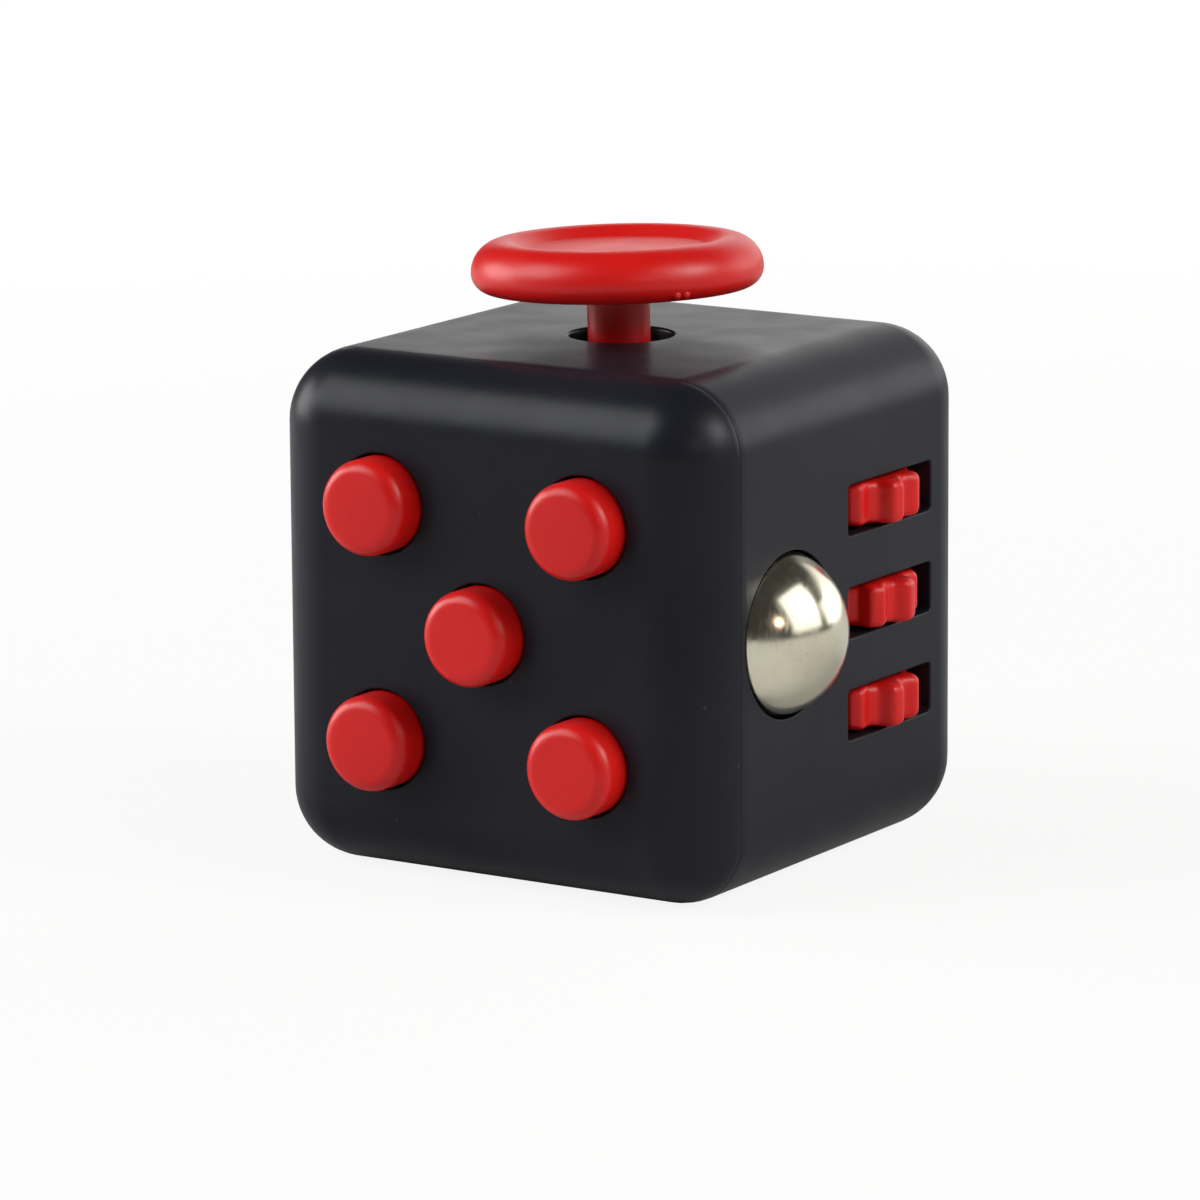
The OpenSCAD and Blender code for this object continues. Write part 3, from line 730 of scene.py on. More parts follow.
def cutAtSeam(mesh, keepFront):  # cuts on the parting line and breaks the cut edge
    gap = caseSettings["seamGap"] / 2
    level = caseCentre.y - half + seamDepth + (-gap if keepFront else gap)
    way = Vector((0, 1, 0)) if keepFront else Vector((0, -1, 0))
    found = bmesh.ops.bisect_plane(mesh, geom=mesh.verts[:] + mesh.edges[:] + mesh.faces[:],
                                   plane_co=(0, level, 0), plane_no=way, clear_outer=True)
    rim = [part for part in found["geom_cut"] if isinstance(part, bmesh.types.BMEdge)]
    bmesh.ops.contextual_create(mesh, geom=rim)
    bmesh.ops.bevel(mesh, geom=rim, offset=caseSettings["seamRound"], segments=2, clamp_overlap=True, **evenRound)


def addLippedHole(mesh, radius, deep, place, lipRound):
    lift = caseSettings["lift"]
    wide = radius + caseSettings["flare"]
    corners = [(0, deep, 0), (radius, deep, 0), (radius, lift, lipRound), (wide, lift, 0), (wide, 1, 0), (0, 1, 0)]
    addTurned(mesh, filleted(corners), place)


def lipGrowth(lipRound, steps=5):  # how a cutter widens to round the lip that it leaves
    lift = caseSettings["lift"]
    angles = [math.pi / 2 * step / steps for step in range(steps + 1)]
    rows = [(lipRound * (math.sin(a) - 1) + lift, lipRound * (1 - math.cos(a))) for a in angles]
    return rows + [(1.0, lipRound)]


def bowlOutline(radius, depth, steps):  # a shallow ball-shaped hollow, up to just inside its edge
    bend = (radius ** 2 + depth ** 2) / (2 * depth)
    points = []
    for step in range(steps):
        r = radius * step / steps
        points.append((r, bend - depth - math.sqrt(bend ** 2 - r ** 2), 0))
    return points


def addSlot(mesh, place):
    slot = caseSettings["slot"]
    rows = [(-2 * caseSettings["wall"], 0)] + lipGrowth(caseSettings["lipRound"])
    rings = [roundedRectangle(slot["halfLength"] + grow, slot["halfHeight"] + grow, slot["corner"] + grow, z)
             for z, grow in rows]
    addStack(mesh, rings, place)


def addRockerPocket(mesh, place, sink):
    pocket = caseSettings["pocket"]
    deep = -caseSettings["wall"] - 2 * overcut
    rows = [(deep + step * pocket["rowHeight"], 0) for step in range(8)] + lipGrowth(caseSettings["lipRound"])
    rings = []
    for z, grow in rows:
        reach = math.sqrt(pocket["swing"] ** 2 - (min(z, 0) + sink) ** 2)
        rings.append(roundedRectangle(pocket["halfWidth"] + grow, reach + grow, pocket["corner"] + grow, z))
    addStack(mesh, rings, place)


def addBallSeat(mesh):
    x, y, sink = ballPlace
    radius = caseSettings["seatRadius"]
    low, high = -caseSettings["wall"] - overcut, -0.2
    edge = math.sqrt(radius ** 2 - sink ** 2)
    lift, wide = caseSettings["lift"], edge + caseSettings["flare"]
    outline = [(0, low)]
    for step in range(caseSettings["seatSteps"] + 1):
        z = low + (high - low) * step / caseSettings["seatSteps"]
        outline.append((math.sqrt(radius ** 2 - (z - sink) ** 2), z))
    corners = [(*outline[-1], 0), (edge, lift, caseSettings["seatLip"]), (wide, lift, 0), (wide, 1, 0), (0, 1, 0)]
    addTurned(mesh, outline + filleted(corners)[1:], onFace("right", x, y))


def shellBosses():
    peg, boss = caseSettings["peg"], caseSettings["boss"]
    recess, dish, wall = caseSettings["recess"], caseSettings["dish"], caseSettings["wall"]
    mesh = bmesh.new()
    for x, y in casePegs:
        deep = -seamDepth - peg["socket"] - peg["floor"]
        addBar(mesh, peg["boss"], deep, -seamDepth - overcut, onFace("front", x, y))
    for x, y in screwSpots["ball"]:
        addBar(mesh, boss["radius"], seatFront, -wall / 2, onFace("right", x, y))
    for x, y in screwSpots["rocker"]:
        addBar(mesh, boss["radius"], rockerPlate, -wall / 2, onFace("left", x, y))
    sides = caseSettings["sides"]["pad"]
    addBar(mesh, recess["radius"] + recess["padRim"], -recess["pad"], -0.7 * wall, onFace("back"), sides)
    addBar(mesh, dish["radius"] + dish["rim"], -wall - dish["depth"], -wall / 2, onFace("bottom"), sides)
    return newPiece("shellBosses", mesh)


def shellCutters():
    peg, boss = caseSettings["peg"], caseSettings["boss"]
    recess, dish, wall = caseSettings["recess"], caseSettings["dish"], caseSettings["wall"]
    sides = caseSettings["sides"]
    mesh = bmesh.new()
    addLippedHole(mesh, caseSettings["stemHole"], -wall - 4 * overcut, onFace("top"), caseSettings["stemLip"])
    addBallSeat(mesh)
    for point in wheelPoints.values():
        along = point.y - caseCentre.y + caseSettings["slot"]["shift"]
        addSlot(mesh, onFace("right", along, point.z - caseCentre.z))
    addRockerPocket(mesh, onFace("left"), half + rockerPoint.x - caseCentre.x)
    lift, wide, deep = caseSettings["lift"], recess["radius"] + caseSettings["flare"], -recess["pad"] - 2 * overcut
    corners = [(0, deep, 0), (recess["spindleHole"], deep, 0), (recess["spindleHole"], -recess["depth"], 0),
               (recess["radius"], -recess["depth"], recess["round"]), (recess["radius"], lift, recess["round"]),
               (wide, lift, 0), (wide, 1, 0), (0, 1, 0)]
    addTurned(mesh, filleted(corners), onFace("back"), sides["dish"])
    bowl = bowlOutline(dish["radius"], dish["depth"], dish["steps"])
    wide = dish["radius"] + dish["rim"]
    corners = bowl + [(dish["radius"], lift, dish["lip"]), (wide, lift, 0), (wide, 1, 0), (0, 1, 0)]
    addTurned(mesh, filleted(corners), onFace("bottom"), sides["dish"])
    for x, y in casePegs:
        deep = -seamDepth - peg["socket"]
        socket = peg["radius"] + peg["clearance"]
        addBar(mesh, socket, deep, -seamDepth + overcut, onFace("front", x, y), sides["peg"])
    bossPilots = (("right", "ball", seatFront), ("left", "rocker", rockerPlate))
    for face, pieces, deep in bossPilots:
        for x, y in screwSpots[pieces]:
            addBar(mesh, boss["pilot"], deep - overcut, deep + boss["bite"], onFace(face, x, y), sides["pilot"])
    for face, pieces in (("right", "wheel"), ("top", "joystick")):
        for x, y in screwSpots[pieces]:
            addBar(mesh, boss["pilot"], -wall - overcut, boss["wallBite"] - wall, onFace(face, x, y), sides["pilot"])
    return newPiece("shellCutters", mesh)


def coverBosses():
    peg, boss, lip = caseSettings["peg"], caseSettings["boss"], caseSettings["lip"]
    wall = caseSettings["wall"]
    start, tip = -peg["rootShare"] * wall, -seamDepth - peg["length"]
    corners = [(0, tip, 0), (peg["radius"], tip, peg["tipRound"]), (peg["radius"], -seamDepth, peg["rootRound"]),
               (peg["root"], -seamDepth, peg["rootRound"]), (peg["root"], start, 0), (0, start, 0)]
    mesh = bmesh.new()
    for x, y in casePegs:
        addTurned(mesh, filleted(corners, 3), onFace("front", x, y), caseSettings["sides"]["peg"])
    for x, y in screwSpots["button"]:
        addBar(mesh, boss["radius"], plateFront, -wall / 2, onFace("front", x, y))
    inner = lip["out"] - lip["thickness"]
    deep, front = -seamDepth - lip["length"], -seamDepth + lip["rooted"]
    addBlock(mesh, (-lip["half"], inner, deep), (lip["half"], lip["out"], front), onFace("front"))
    addBlock(mesh, (-lip["half"], -lip["out"], deep), (lip["half"], -inner, front), onFace("front"))
    addBlock(mesh, (-lip["out"], -lip["half"], deep), (-inner, lip["half"], front), onFace("front"))
    for low, high in ((-lip["half"], -lip["breakHalf"]), (lip["breakHalf"], lip["half"])):
        addBlock(mesh, (inner, low, deep), (lip["out"], high, front), onFace("front"))
    return newPiece("coverBosses", mesh)


def coverCutters():
    c = caseSettings
    wall, pilot = c["wall"], c["boss"]["pilot"]
    mesh = bmesh.new()
    for x, y in buttonSpots.values():
        addLippedHole(mesh, c["buttonHole"], -wall - 2 * overcut, onFace("front", x, y), c["lipRound"])
    for x, y in screwSpots["button"]:
        addBar(mesh, pilot, plateFront - overcut, -wall + overcut, onFace("front", x, y), c["sides"]["pilot"])
    return newPiece("coverCutters", mesh)


def makeShell(name, node, keepFront, bosses, cutters):
    mesh = roundedCube(2 * half, caseSettings["edgeRound"], caseSettings["edgeSegments"])
    cutAtSeam(mesh, keepFront)
    shell = newPiece(name, mesh)
    wall = caseSettings["wall"]
    inside = roundedCube(2 * (half - wall), caseSettings["edgeRound"] - wall, caseSettings["insideSegments"])
    combine(shell, newPiece("cavity", inside), "DIFFERENCE")
    combine(shell, bosses, "UNION")
    combine(shell, cutters, "DIFFERENCE")
    finishPiece(shell, "case", "case_black", node)


makeShell("caseShell", "main_shell", False, shellBosses(), shellCutters())
makeShell("coverShell", "front_cover", True, coverBosses(), coverCutters())


# Push buttons

buttonSettings = {
    "radius": 3.1,
    "rim": 0.92,
    "flangeRadius": 3.75,
    "flangeFront": -2.05,
    "flangeBack": -2.75,
    "stubRadius": 1.0,
    "smallRound": 0.1,
}


def makeButton(spot):
    node = "button_" + spot
    low, high = boxInMm(node)
    face = coverLow.y
    top, end = face - low.y, face - high.y
    b, small = buttonSettings, buttonSettings["smallRound"]
    corners = [(0, end, 0), (b["stubRadius"], end, small), (b["stubRadius"], b["flangeBack"], 0),
               (b["flangeRadius"], b["flangeBack"], small), (b["flangeRadius"], b["flangeFront"], small),
               (b["radius"], b["flangeFront"], 0), (b["radius"], top, b["rim"]), (0, top, 0)]
    mesh = bmesh.new()
    addTurned(mesh, filleted(corners, 12), onFace("front", *buttonSpots[spot]))
    finishPiece(newPiece("button" + spot.title().replace("_", ""), mesh), node, "red_plastic", node)


for spot in buttonSpots:
    makeButton(spot)


# Joystick: a dished cap on a round stem, leaning as it rests

def middleAngle(name):
    low, high = joints[name]["range_deg"]
    return math.radians(-(low + high) / 2)


stickPlace = (Matrix.Translation(axlePoint("stick_front_back"))
              @ Matrix.Rotation(middleAngle("stick_front_back"), 4, "X")
              @ Matrix.Rotation(middleAngle("stick_side_side"), 4, "Y"))
capSettings = {
    "radius": 9.45,
    "rise": 10.7,  # the widest line, above the pivot
    "top": 2.05,
    "under": 1.25,
    "crestRadius": 7.0,
    "floorRadius": 5.7,
    "floorDrop": 0.65,
    "crestRound": 1.6,
    "floorRound": 0.5,
    "socketRadius": 1.22,
    "socketDepth": 1.32,
    "sides": 144,
    # Nubs left where the moulding was fed
    "gate": {"azimuths": (56.5, 60.5), "radius": 8.98, "height": -0.72, "size": 0.36},
}
stemSettings = {
    "radius": 2.03,
    "spigotRadius": 1.2,
    "spigotLength": 1.3,
    "smallRound": 0.1,
    "footRadius": 2.3,
    "footTop": -2.2,
    "footEnd": -3.0,
    "footRound": 0.15,
    "pinHole": 0.77,
}


def makeCap():
    c = capSettings
    floor = c["top"] - c["floorDrop"]
    corners = [(0, c["socketDepth"] - c["under"], 0), (c["socketRadius"], c["socketDepth"] - c["under"], 0),
               (c["socketRadius"], -c["under"], 0), (c["radius"], -c["under"], c["under"]),
               (c["radius"], c["top"], c["top"]), (c["crestRadius"], c["top"], c["crestRound"]),
               (c["floorRadius"], floor, c["floorRound"]), (0, floor, 0)]
    mesh = bmesh.new()
    addTurned(mesh, filleted(corners, 16), stickPlace @ Matrix.Translation((0, 0, c["rise"])), c["sides"])
    cap = newPiece("joystickCap", mesh)
    gate = c["gate"]
    for azimuth in gate["azimuths"]:
        nub = bmesh.new()
        out = towards(azimuth, 0) * gate["radius"]
        spot = Matrix.Translation((out.x, out.y, c["rise"] + gate["height"]))
        bmesh.ops.create_icosphere(nub, subdivisions=4, radius=gate["size"], matrix=stickPlace @ spot)
        combine(cap, newPiece("gateNub", nub), "UNION")
    finishPiece(cap, "stick", "red_plastic", "joystick_cap")


def makeStem():
    s, c = stemSettings, capSettings
    top = c["rise"] - c["under"]
    tip = top + s["spigotLength"]
    corners = [(0, s["footEnd"], 0), (s["footRadius"], s["footEnd"], s["footRound"]),
               (s["footRadius"], s["footTop"], s["smallRound"]), (s["radius"], s["footTop"], 0),
               (s["radius"], top, 0), (s["spigotRadius"], top, 0), (s["spigotRadius"], tip, s["smallRound"]),
               (0, tip, 0)]
    mesh = bmesh.new()
    addTurned(mesh, filleted(corners), stickPlace)
    stem = newPiece("joystickStem", mesh)
    hole = bmesh.new()
    reach = 2 * s["radius"]
    addBar(hole, s["pinHole"], -reach, reach, stickPlace @ Matrix.Rotation(math.pi / 2, 4, "X"))
    combine(stem, newPiece("pinHole", hole), "DIFFERENCE")
    finishPiece(stem, "stick", "red_plastic", "joystick_stem")


makeCap()
makeStem()


# Steel ball

ballCuts = 31  # in each edge of the cube that it is blown up from


def makeBall():
    mesh = bmesh.new()
    bmesh.ops.create_cube(mesh, size=2)
    bmesh.ops.subdivide_edges(mesh, edges=mesh.edges, cuts=ballCuts, use_grid_fill=True)
    radius = (ballHigh.x - ballLow.x) / 2
    for vert in mesh.verts:
        # Evens out the squares before they are blown up into the ball
        even = Vector(math.tan(value * math.pi / 4) for value in vert.co)
        vert.co = ballCentre + even.normalized() * radius
    finishPiece(newPiece("steelBall", mesh), "ball", "ball_steel", "ball")


makeBall()


# Toothed thumb wheels and the ribbed dial share one node tree, which turns an outline and presses valleys in its rim

def newTree(name, numbers):
    tree = bpy.data.node_groups.new(name, "GeometryNodeTree")
    tree.interface.new_socket("Geometry", in_out="INPUT", socket_type="NodeSocketGeometry")
    for label, kind in numbers:
        tree.interface.new_socket(label, in_out="INPUT", socket_type="NodeSocket" + kind)
    tree.interface.new_socket("Geometry", in_out="OUTPUT", socket_type="NodeSocketGeometry")
    given = tree.nodes.new("NodeGroupInput").outputs
    out = tree.nodes.new("NodeGroupOutput").inputs[0]
    return tree, given, out


def endTree(tree, given, out, geometry):
    real = addNode(tree, "GeometryNodeRealizeInstances", {"Geometry": geometry})
    painted = addNode(tree, "GeometryNodeSetMaterial",
                      {"Geometry": real.outputs[0], "Material": given["Material"]})
    tree.links.new(painted.outputs[0], out)


def runTree(piece, tree, values):
    step = piece.modifiers.new(tree.name, "NODES")
    step.node_group = tree
    for item in tree.interface.items_tree:
        if item.in_out == "INPUT" and item.name in values:
            step[item.identifier] = values[item.name]
    settle(piece)


def addLathe(tree, given, around):
    # A sheet with a row for each point of the outline; a ring outline comes back to its first point
    outline = given["Geometry"]
    size = addNode(tree, "GeometryNodeAttributeDomainSize", {"Geometry": outline}, component="MESH")
    count = size.outputs["Point Count"]
    rows = addMath(tree, "ADD", count, given["Ring Outline"])
    grid = addNode(tree, "GeometryNodeMeshGrid", {
        "Size X": 1.0, "Size Y": 1.0, "Vertices X": addMath(tree, "ADD", around, 1.0), "Vertices Y": rows})
    at = addNode(tree, "ShaderNodeSeparateXYZ", {0: tree.nodes.new("GeometryNodeInputPosition").outputs[0]})
    turn = addMath(tree, "ADD", at.outputs["X"], 0.5)
    along = addMath(tree, "ADD", at.outputs["Y"], 0.5)
    row = addMath(tree, "ROUND", addMath(tree, "MULTIPLY", along, addMath(tree, "SUBTRACT", rows, 1.0)))
    sample = tree.nodes.new("GeometryNodeSampleIndex")
    sample.data_type = "FLOAT_VECTOR"
    tree.links.new(outline, sample.inputs["Geometry"])
    tree.links.new(tree.nodes.new("GeometryNodeInputPosition").outputs[0], sample.inputs["Value"])
    tree.links.new(addMath(tree, "MODULO", row, count), sample.inputs["Index"])
    spot = addNode(tree, "ShaderNodeSeparateXYZ", {0: sample.outputs[0]}).outputs
    return grid.outputs[0], turn, spot["X"], spot["Z"]


def closeLathe(tree, grid, turn, radius, height):
    angle = addMath(tree, "MULTIPLY", turn, 2 * math.pi)
    place = addNode(tree, "ShaderNodeCombineXYZ", {
        "X": addMath(tree, "MULTIPLY", radius, addMath(tree, "COSINE", angle)),
        "Y": addMath(tree, "MULTIPLY", radius, addMath(tree, "SINE", angle)),
        "Z": height})
    moved = addNode(tree, "GeometryNodeSetPosition", {"Geometry": grid, "Position": place.outputs[0]})
    seam = {"Geometry": moved.outputs[0], "Distance": weldDistance}
    return addNode(tree, "GeometryNodeMergeByDistance", seam).outputs[0]


def makeToothedTree():
    tree, given, out = newTree("toothedRim", [
        ("Ring Outline", "Int"), ("Teeth", "Int"), ("Steps Per Tooth", "Int"), ("Valley Depth", "Float"),
        ("Ridge Half", "Float"), ("Valley Half", "Float"), ("Rim Radius", "Float"), ("Blend Radius", "Float"),
        ("Material", "Material")])
    around = addMath(tree, "MULTIPLY", given["Teeth"], given["Steps Per Tooth"])
    grid, turn, radius, height = addLathe(tree, given, around)
    onRim = addRange(tree, radius, given["Blend Radius"], given["Rim Radius"], smooth=False)
    fromRidge = addMath(tree, "PINGPONG", addMath(tree, "MULTIPLY", turn, given["Teeth"]), 0.5)
    valley = addRange(tree, fromRidge, given["Ridge Half"], addMath(tree, "SUBTRACT", 0.5, given["Valley Half"]))
    press = addMath(tree, "MULTIPLY", addMath(tree, "MULTIPLY", valley, onRim), given["Valley Depth"])
    endTree(tree, given, out, closeLathe(tree, grid, turn, addMath(tree, "SUBTRACT", radius, press), height))
    return tree


def outlinePiece(name, points):
    mesh = bmesh.new()
    for x, z in points:
        mesh.verts.new((x, 0, z))
    return newPiece(name, mesh)


wheelSettings = {
    "radius": 4.7,
    "height": 2.8,
    "teeth": 9,
    "stepsPerTooth": 20,
    "valleyDepth": 0.8,
    "ridgeHalf": 0.1,
    "valleyHalf": 0.1,
    "rim": 0.55,
    "rimBand": 1.5,  # how far in from the rim the valleys fade out
    "hubRadius": 1.9,
    "hubHeight": 3.1,
    "hubRound": 0.08,
    "bore": 1.05,
    "turns": {"wheel_upper": 17, "wheel_middle": -3, "wheel_lower": 18},
}


def makeWheel(name, tree):
    w = wheelSettings
    side, hub, inner = w["height"] / 2, w["hubHeight"] / 2, w["radius"] - w["rimBand"]
    corners = [(w["bore"], -hub, 0), (w["hubRadius"], -hub, w["hubRound"]), (w["hubRadius"], -side, 0),
               (inner, -side, 0), (w["radius"], -side, w["rim"]), (w["radius"], side, w["rim"]), (inner, side, 0),
               (w["hubRadius"], side, 0), (w["hubRadius"], hub, w["hubRound"]), (w["bore"], hub, 0)]
    wheel = outlinePiece("thumb" + name.title().replace("_", ""), filleted(corners))
    runTree(wheel, tree, {
        "Ring Outline": 1, "Teeth": w["teeth"], "Steps Per Tooth": w["stepsPerTooth"],
        "Valley Depth": w["valleyDepth"], "Ridge Half": w["ridgeHalf"], "Valley Half": w["valleyHalf"],
        "Rim Radius": w["radius"] - w["rim"], "Blend Radius": inner, "Material": redPlastic})
    turn = math.radians(w["turns"][name])
    place = (Matrix.Translation(wheelPoints[name]) @ onFace("right").to_3x3().to_4x4()
             @ Matrix.Rotation(-math.pi / 2, 4, "X") @ Matrix.Rotation(turn, 4, "Z"))
    finishPiece(wheel, name, "red_plastic", name, place=place, sharpAngle=40)


toothedTree = makeToothedTree()
for name in wheelNames:
    makeWheel(name, toothedTree)


# Dial with a ribbed edge and a finger dimple

dialSettings = {
    "radius": 8.0,
    "back": -0.65,
    "backRound": 0.2,
    "rim": 0.6,
    "rimBand": 1.2,
    "ribs": 48,
    "stepsPerRib": 6,
    "ribDepth": 0.22,
    "ridgeHalf": 0.1,
    "valleyHalf": 0.05,
    "spindleRadius": 2.0,
    "spindleRound": 0.15,
    "grooveRadius": 1.55,
    "grooveFront": -3.05,
    "grooveBack": -3.6,
    "dimpleAt": 4.5,
    "dimpleRadius": 4.0,
    "dimpleDepth": 0.9,
    "dimpleLip": 0.35,
    "dimpleSteps": 10,
    "dimpleSides": 72,
}


def makeDial(tree):
    d = dialSettings
    low, high = boxInMm("dial")
    face = caseCentre.y + half
    top, end = high.y - face, low.y - face
    inner = d["radius"] - d["rimBand"]
    corners = [(0, end, 0), (d["spindleRadius"], end, d["spindleRound"]), (d["spindleRadius"], d["grooveBack"], 0),
               (d["grooveRadius"], d["grooveBack"], 0), (d["grooveRadius"], d["grooveFront"], 0),
               (d["spindleRadius"], d["grooveFront"], 0), (d["spindleRadius"], d["back"], 0), (inner, d["back"], 0),
               (d["radius"], d["back"], d["backRound"]), (d["radius"], top, d["rim"]), (inner, top, 0), (0, top, 0)]
    dial = outlinePiece("thumbDial", filleted(corners, 8))
    runTree(dial, tree, {
        "Ring Outline": 0, "Teeth": d["ribs"], "Steps Per Tooth": d["stepsPerRib"], "Valley Depth": d["ribDepth"],
        "Ridge Half": d["ridgeHalf"], "Valley Half": d["valleyHalf"], "Rim Radius": d["radius"] - d["backRound"],
        "Blend Radius": inner, "Material": redPlastic})
    mesh = bmesh.new()
    bowl, depth = d["dimpleRadius"], d["dimpleDepth"]
    edge = math.sqrt(bowl ** 2 - (bowl - depth) ** 2)
    lift, wide = caseSettings["lift"], edge + caseSettings["flare"]
    corners = bowlOutline(edge, depth, d["dimpleSteps"])
    corners += [(edge, lift, d["dimpleLip"]), (wide, lift, 0), (wide, 1, 0), (0, 1, 0)]
    addTurned(mesh, filleted(corners), Matrix.Translation((0, d["dimpleAt"], top)), d["dimpleSides"])
    combine(dial, newPiece("dimple", mesh), "DIFFERENCE")
    finishPiece(dial, "dial", "red_plastic", "dial", place=onFace("back"), sharpAngle=40)


makeDial(toothedTree)


# Rocker: two slopes that meet in a soft valley, in one moulding

rockerSettings = {
    "width": 5.6,
    "swing": 6.1,
    "endSteps": 10,
    "angle": 10.0,
    "crown": 3.7,
    "valleyRound": 6.0,
    "tipRound": 0.3,
    "belly": -0.6,
    "edgeRound": 0.32,
    "hubRadius": 1.5,
    "pinHole": 0.85,
}


def makeRocker():
    r = rockerSettings
    tilt = math.radians(r["angle"])

    def slopeEnd(side):
        slope = math.tan(tilt)
        a, b, c = 1 + slope ** 2, 2 * slope * r["crown"], r["crown"] ** 2 - r["swing"] ** 2
        x = (-b + math.sqrt(b * b - 4 * a * c)) / (2 * a)
        return side * x, r["crown"] + slope * x

    top = [slopeEnd(1), slopeEnd(-1)]
    bottomX = math.sqrt(r["swing"] ** 2 - r["belly"] ** 2)
    outline = [(bottomX, r["belly"])]
    first, last = math.atan2(r["belly"], bottomX), math.atan2(top[0][1], top[0][0])
    angles = [first + (last - first) * k / r["endSteps"] for k in range(1, r["endSteps"])]
    right = [(r["swing"] * math.cos(a), r["swing"] * math.sin(a)) for a in angles]
    left = [(-x, y) for x, y in reversed(right)]
    outline += right
    tip = r["tipRound"]
    crown = filleted([(*outline[-1], 0), (*top[0], tip), (0, r["crown"], r["valleyRound"]), (*top[1], tip),
                      (*left[0], 0)], 8)
    outline += [tuple(point) for point in crown[1:-1]] + left + [(-bottomX, r["belly"])]
    side = r["width"] / 2
    mesh = bmesh.new()
    addStack(mesh, [[(x, y, z) for x, y in outline] for z in (-side, side)], Matrix())
    ends = [edge for edge in mesh.edges if abs(edge.verts[0].co.z - edge.verts[1].co.z) < tiny]
    bmesh.ops.bevel(mesh, geom=ends, offset=r["edgeRound"], segments=5, clamp_overlap=True, **evenRound)
    rocker = newPiece("flipRocker", mesh)
    hub, bore = bmesh.new(), bmesh.new()
    addBar(hub, r["hubRadius"], 0.01 - side, side - 0.01, Matrix())  # a hair inside the rocker's sides
    addBar(bore, r["pinHole"], -side - 1, side + 1, Matrix())
    combine(rocker, newPiece("hub", hub), "UNION")
    combine(rocker, newPiece("bore", bore), "DIFFERENCE")
    # The outline lies across the pin, so it is stood up on the face and tipped to where it rests
    place = (Matrix.Translation(rockerPoint) @ onFace("left").to_3x3().to_4x4()
             @ Matrix.Rotation(-tilt, 4, "X")
             @ Matrix(((0, 0, 1, 0), (1, 0, 0, 0), (0, 1, 0, 0), (0, 0, 0, 1))))
    finishPiece(rocker, "rocker", "red_plastic", "rocker", place=place)


makeRocker()


# Pan-head screws: one threaded screw, set on the points of each plate and turned at random

screwSettings = {
    "shankRadius": 0.7,
    "headRadius": 1.05,
    "headHeight": 0.7,
    "headRound": 0.45,
    "seatRound": 0.08,
    "pitch": 0.5,
    "threadDepth": 0.1,
    "rowsPerPitch": 6,
    "runout": 0.3,
    "tipShare": 0.8,
    "segments": 24,
    "recess": {"halfWidth": 0.13, "reach": 0.62, "depth": 0.38, "taper": 0.55, "cornerShare": 0.3},
    "seeds": {"button": 3, "joystick": 5, "ball": 8, "wheel": 13, "rocker": 21},
}
screwFaces = {"button": "front", "joystick": "top", "ball": "right", "wheel": "right", "rocker": "left"}


def makeThreadTree():
    tree, given, out = newTree("threadedScrew", [
        ("Ring Outline", "Int"), ("Segments", "Int"), ("Pitch", "Float"), ("Thread Depth", "Float"),
        ("Thread Start", "Float"), ("Thread End", "Float"), ("Runout", "Float"), ("Material", "Material")])
    grid, turn, radius, height = addLathe(tree, given, given["Segments"])
    wound = addMath(tree, "ADD", addMath(tree, "DIVIDE", height, given["Pitch"]), turn)
    groove = addMath(tree, "MULTIPLY", addMath(tree, "PINGPONG", wound, 0.5), 2.0)
    start, end = given["Thread Start"], given["Thread End"]
    begun = addRange(tree, height, start, addMath(tree, "ADD", start, given["Pitch"]))
    ended = addRange(tree, height, addMath(tree, "SUBTRACT", end, given["Runout"]), end, 1.0, 0.0)
    cut = addMath(tree, "MULTIPLY", addMath(tree, "MULTIPLY", groove, begun), ended)
    deep = addMath(tree, "MULTIPLY", cut, given["Thread Depth"])
    endTree(tree, given, out, closeLathe(tree, grid, turn, addMath(tree, "SUBTRACT", radius, deep), height))
    return tree


def makeScrewSetTree():
    tree, given, out = newTree("screwSet", [
        ("Screw", "Object"), ("Largest Turn", "Float"), ("Seed", "Int"), ("Material", "Material")])
    screw = addNode(tree, "GeometryNodeObjectInfo", {"Object": given["Screw"], "As Instance": True})
    chance = tree.nodes.new("FunctionNodeRandomValue")
    chance.data_type = "FLOAT"
    tree.links.new(given["Largest Turn"], chance.inputs[3])
    tree.links.new(given["Seed"], chance.inputs["Seed"])
    turn = addNode(tree, "ShaderNodeCombineXYZ", {"Z": chance.outputs[1]})
    placed = addNode(tree, "GeometryNodeInstanceOnPoints", {
        "Points": given["Geometry"], "Instance": screw.outputs["Geometry"], "Rotation": turn.outputs[0]})
    endTree(tree, given, out, placed.outputs[0])
    return tree


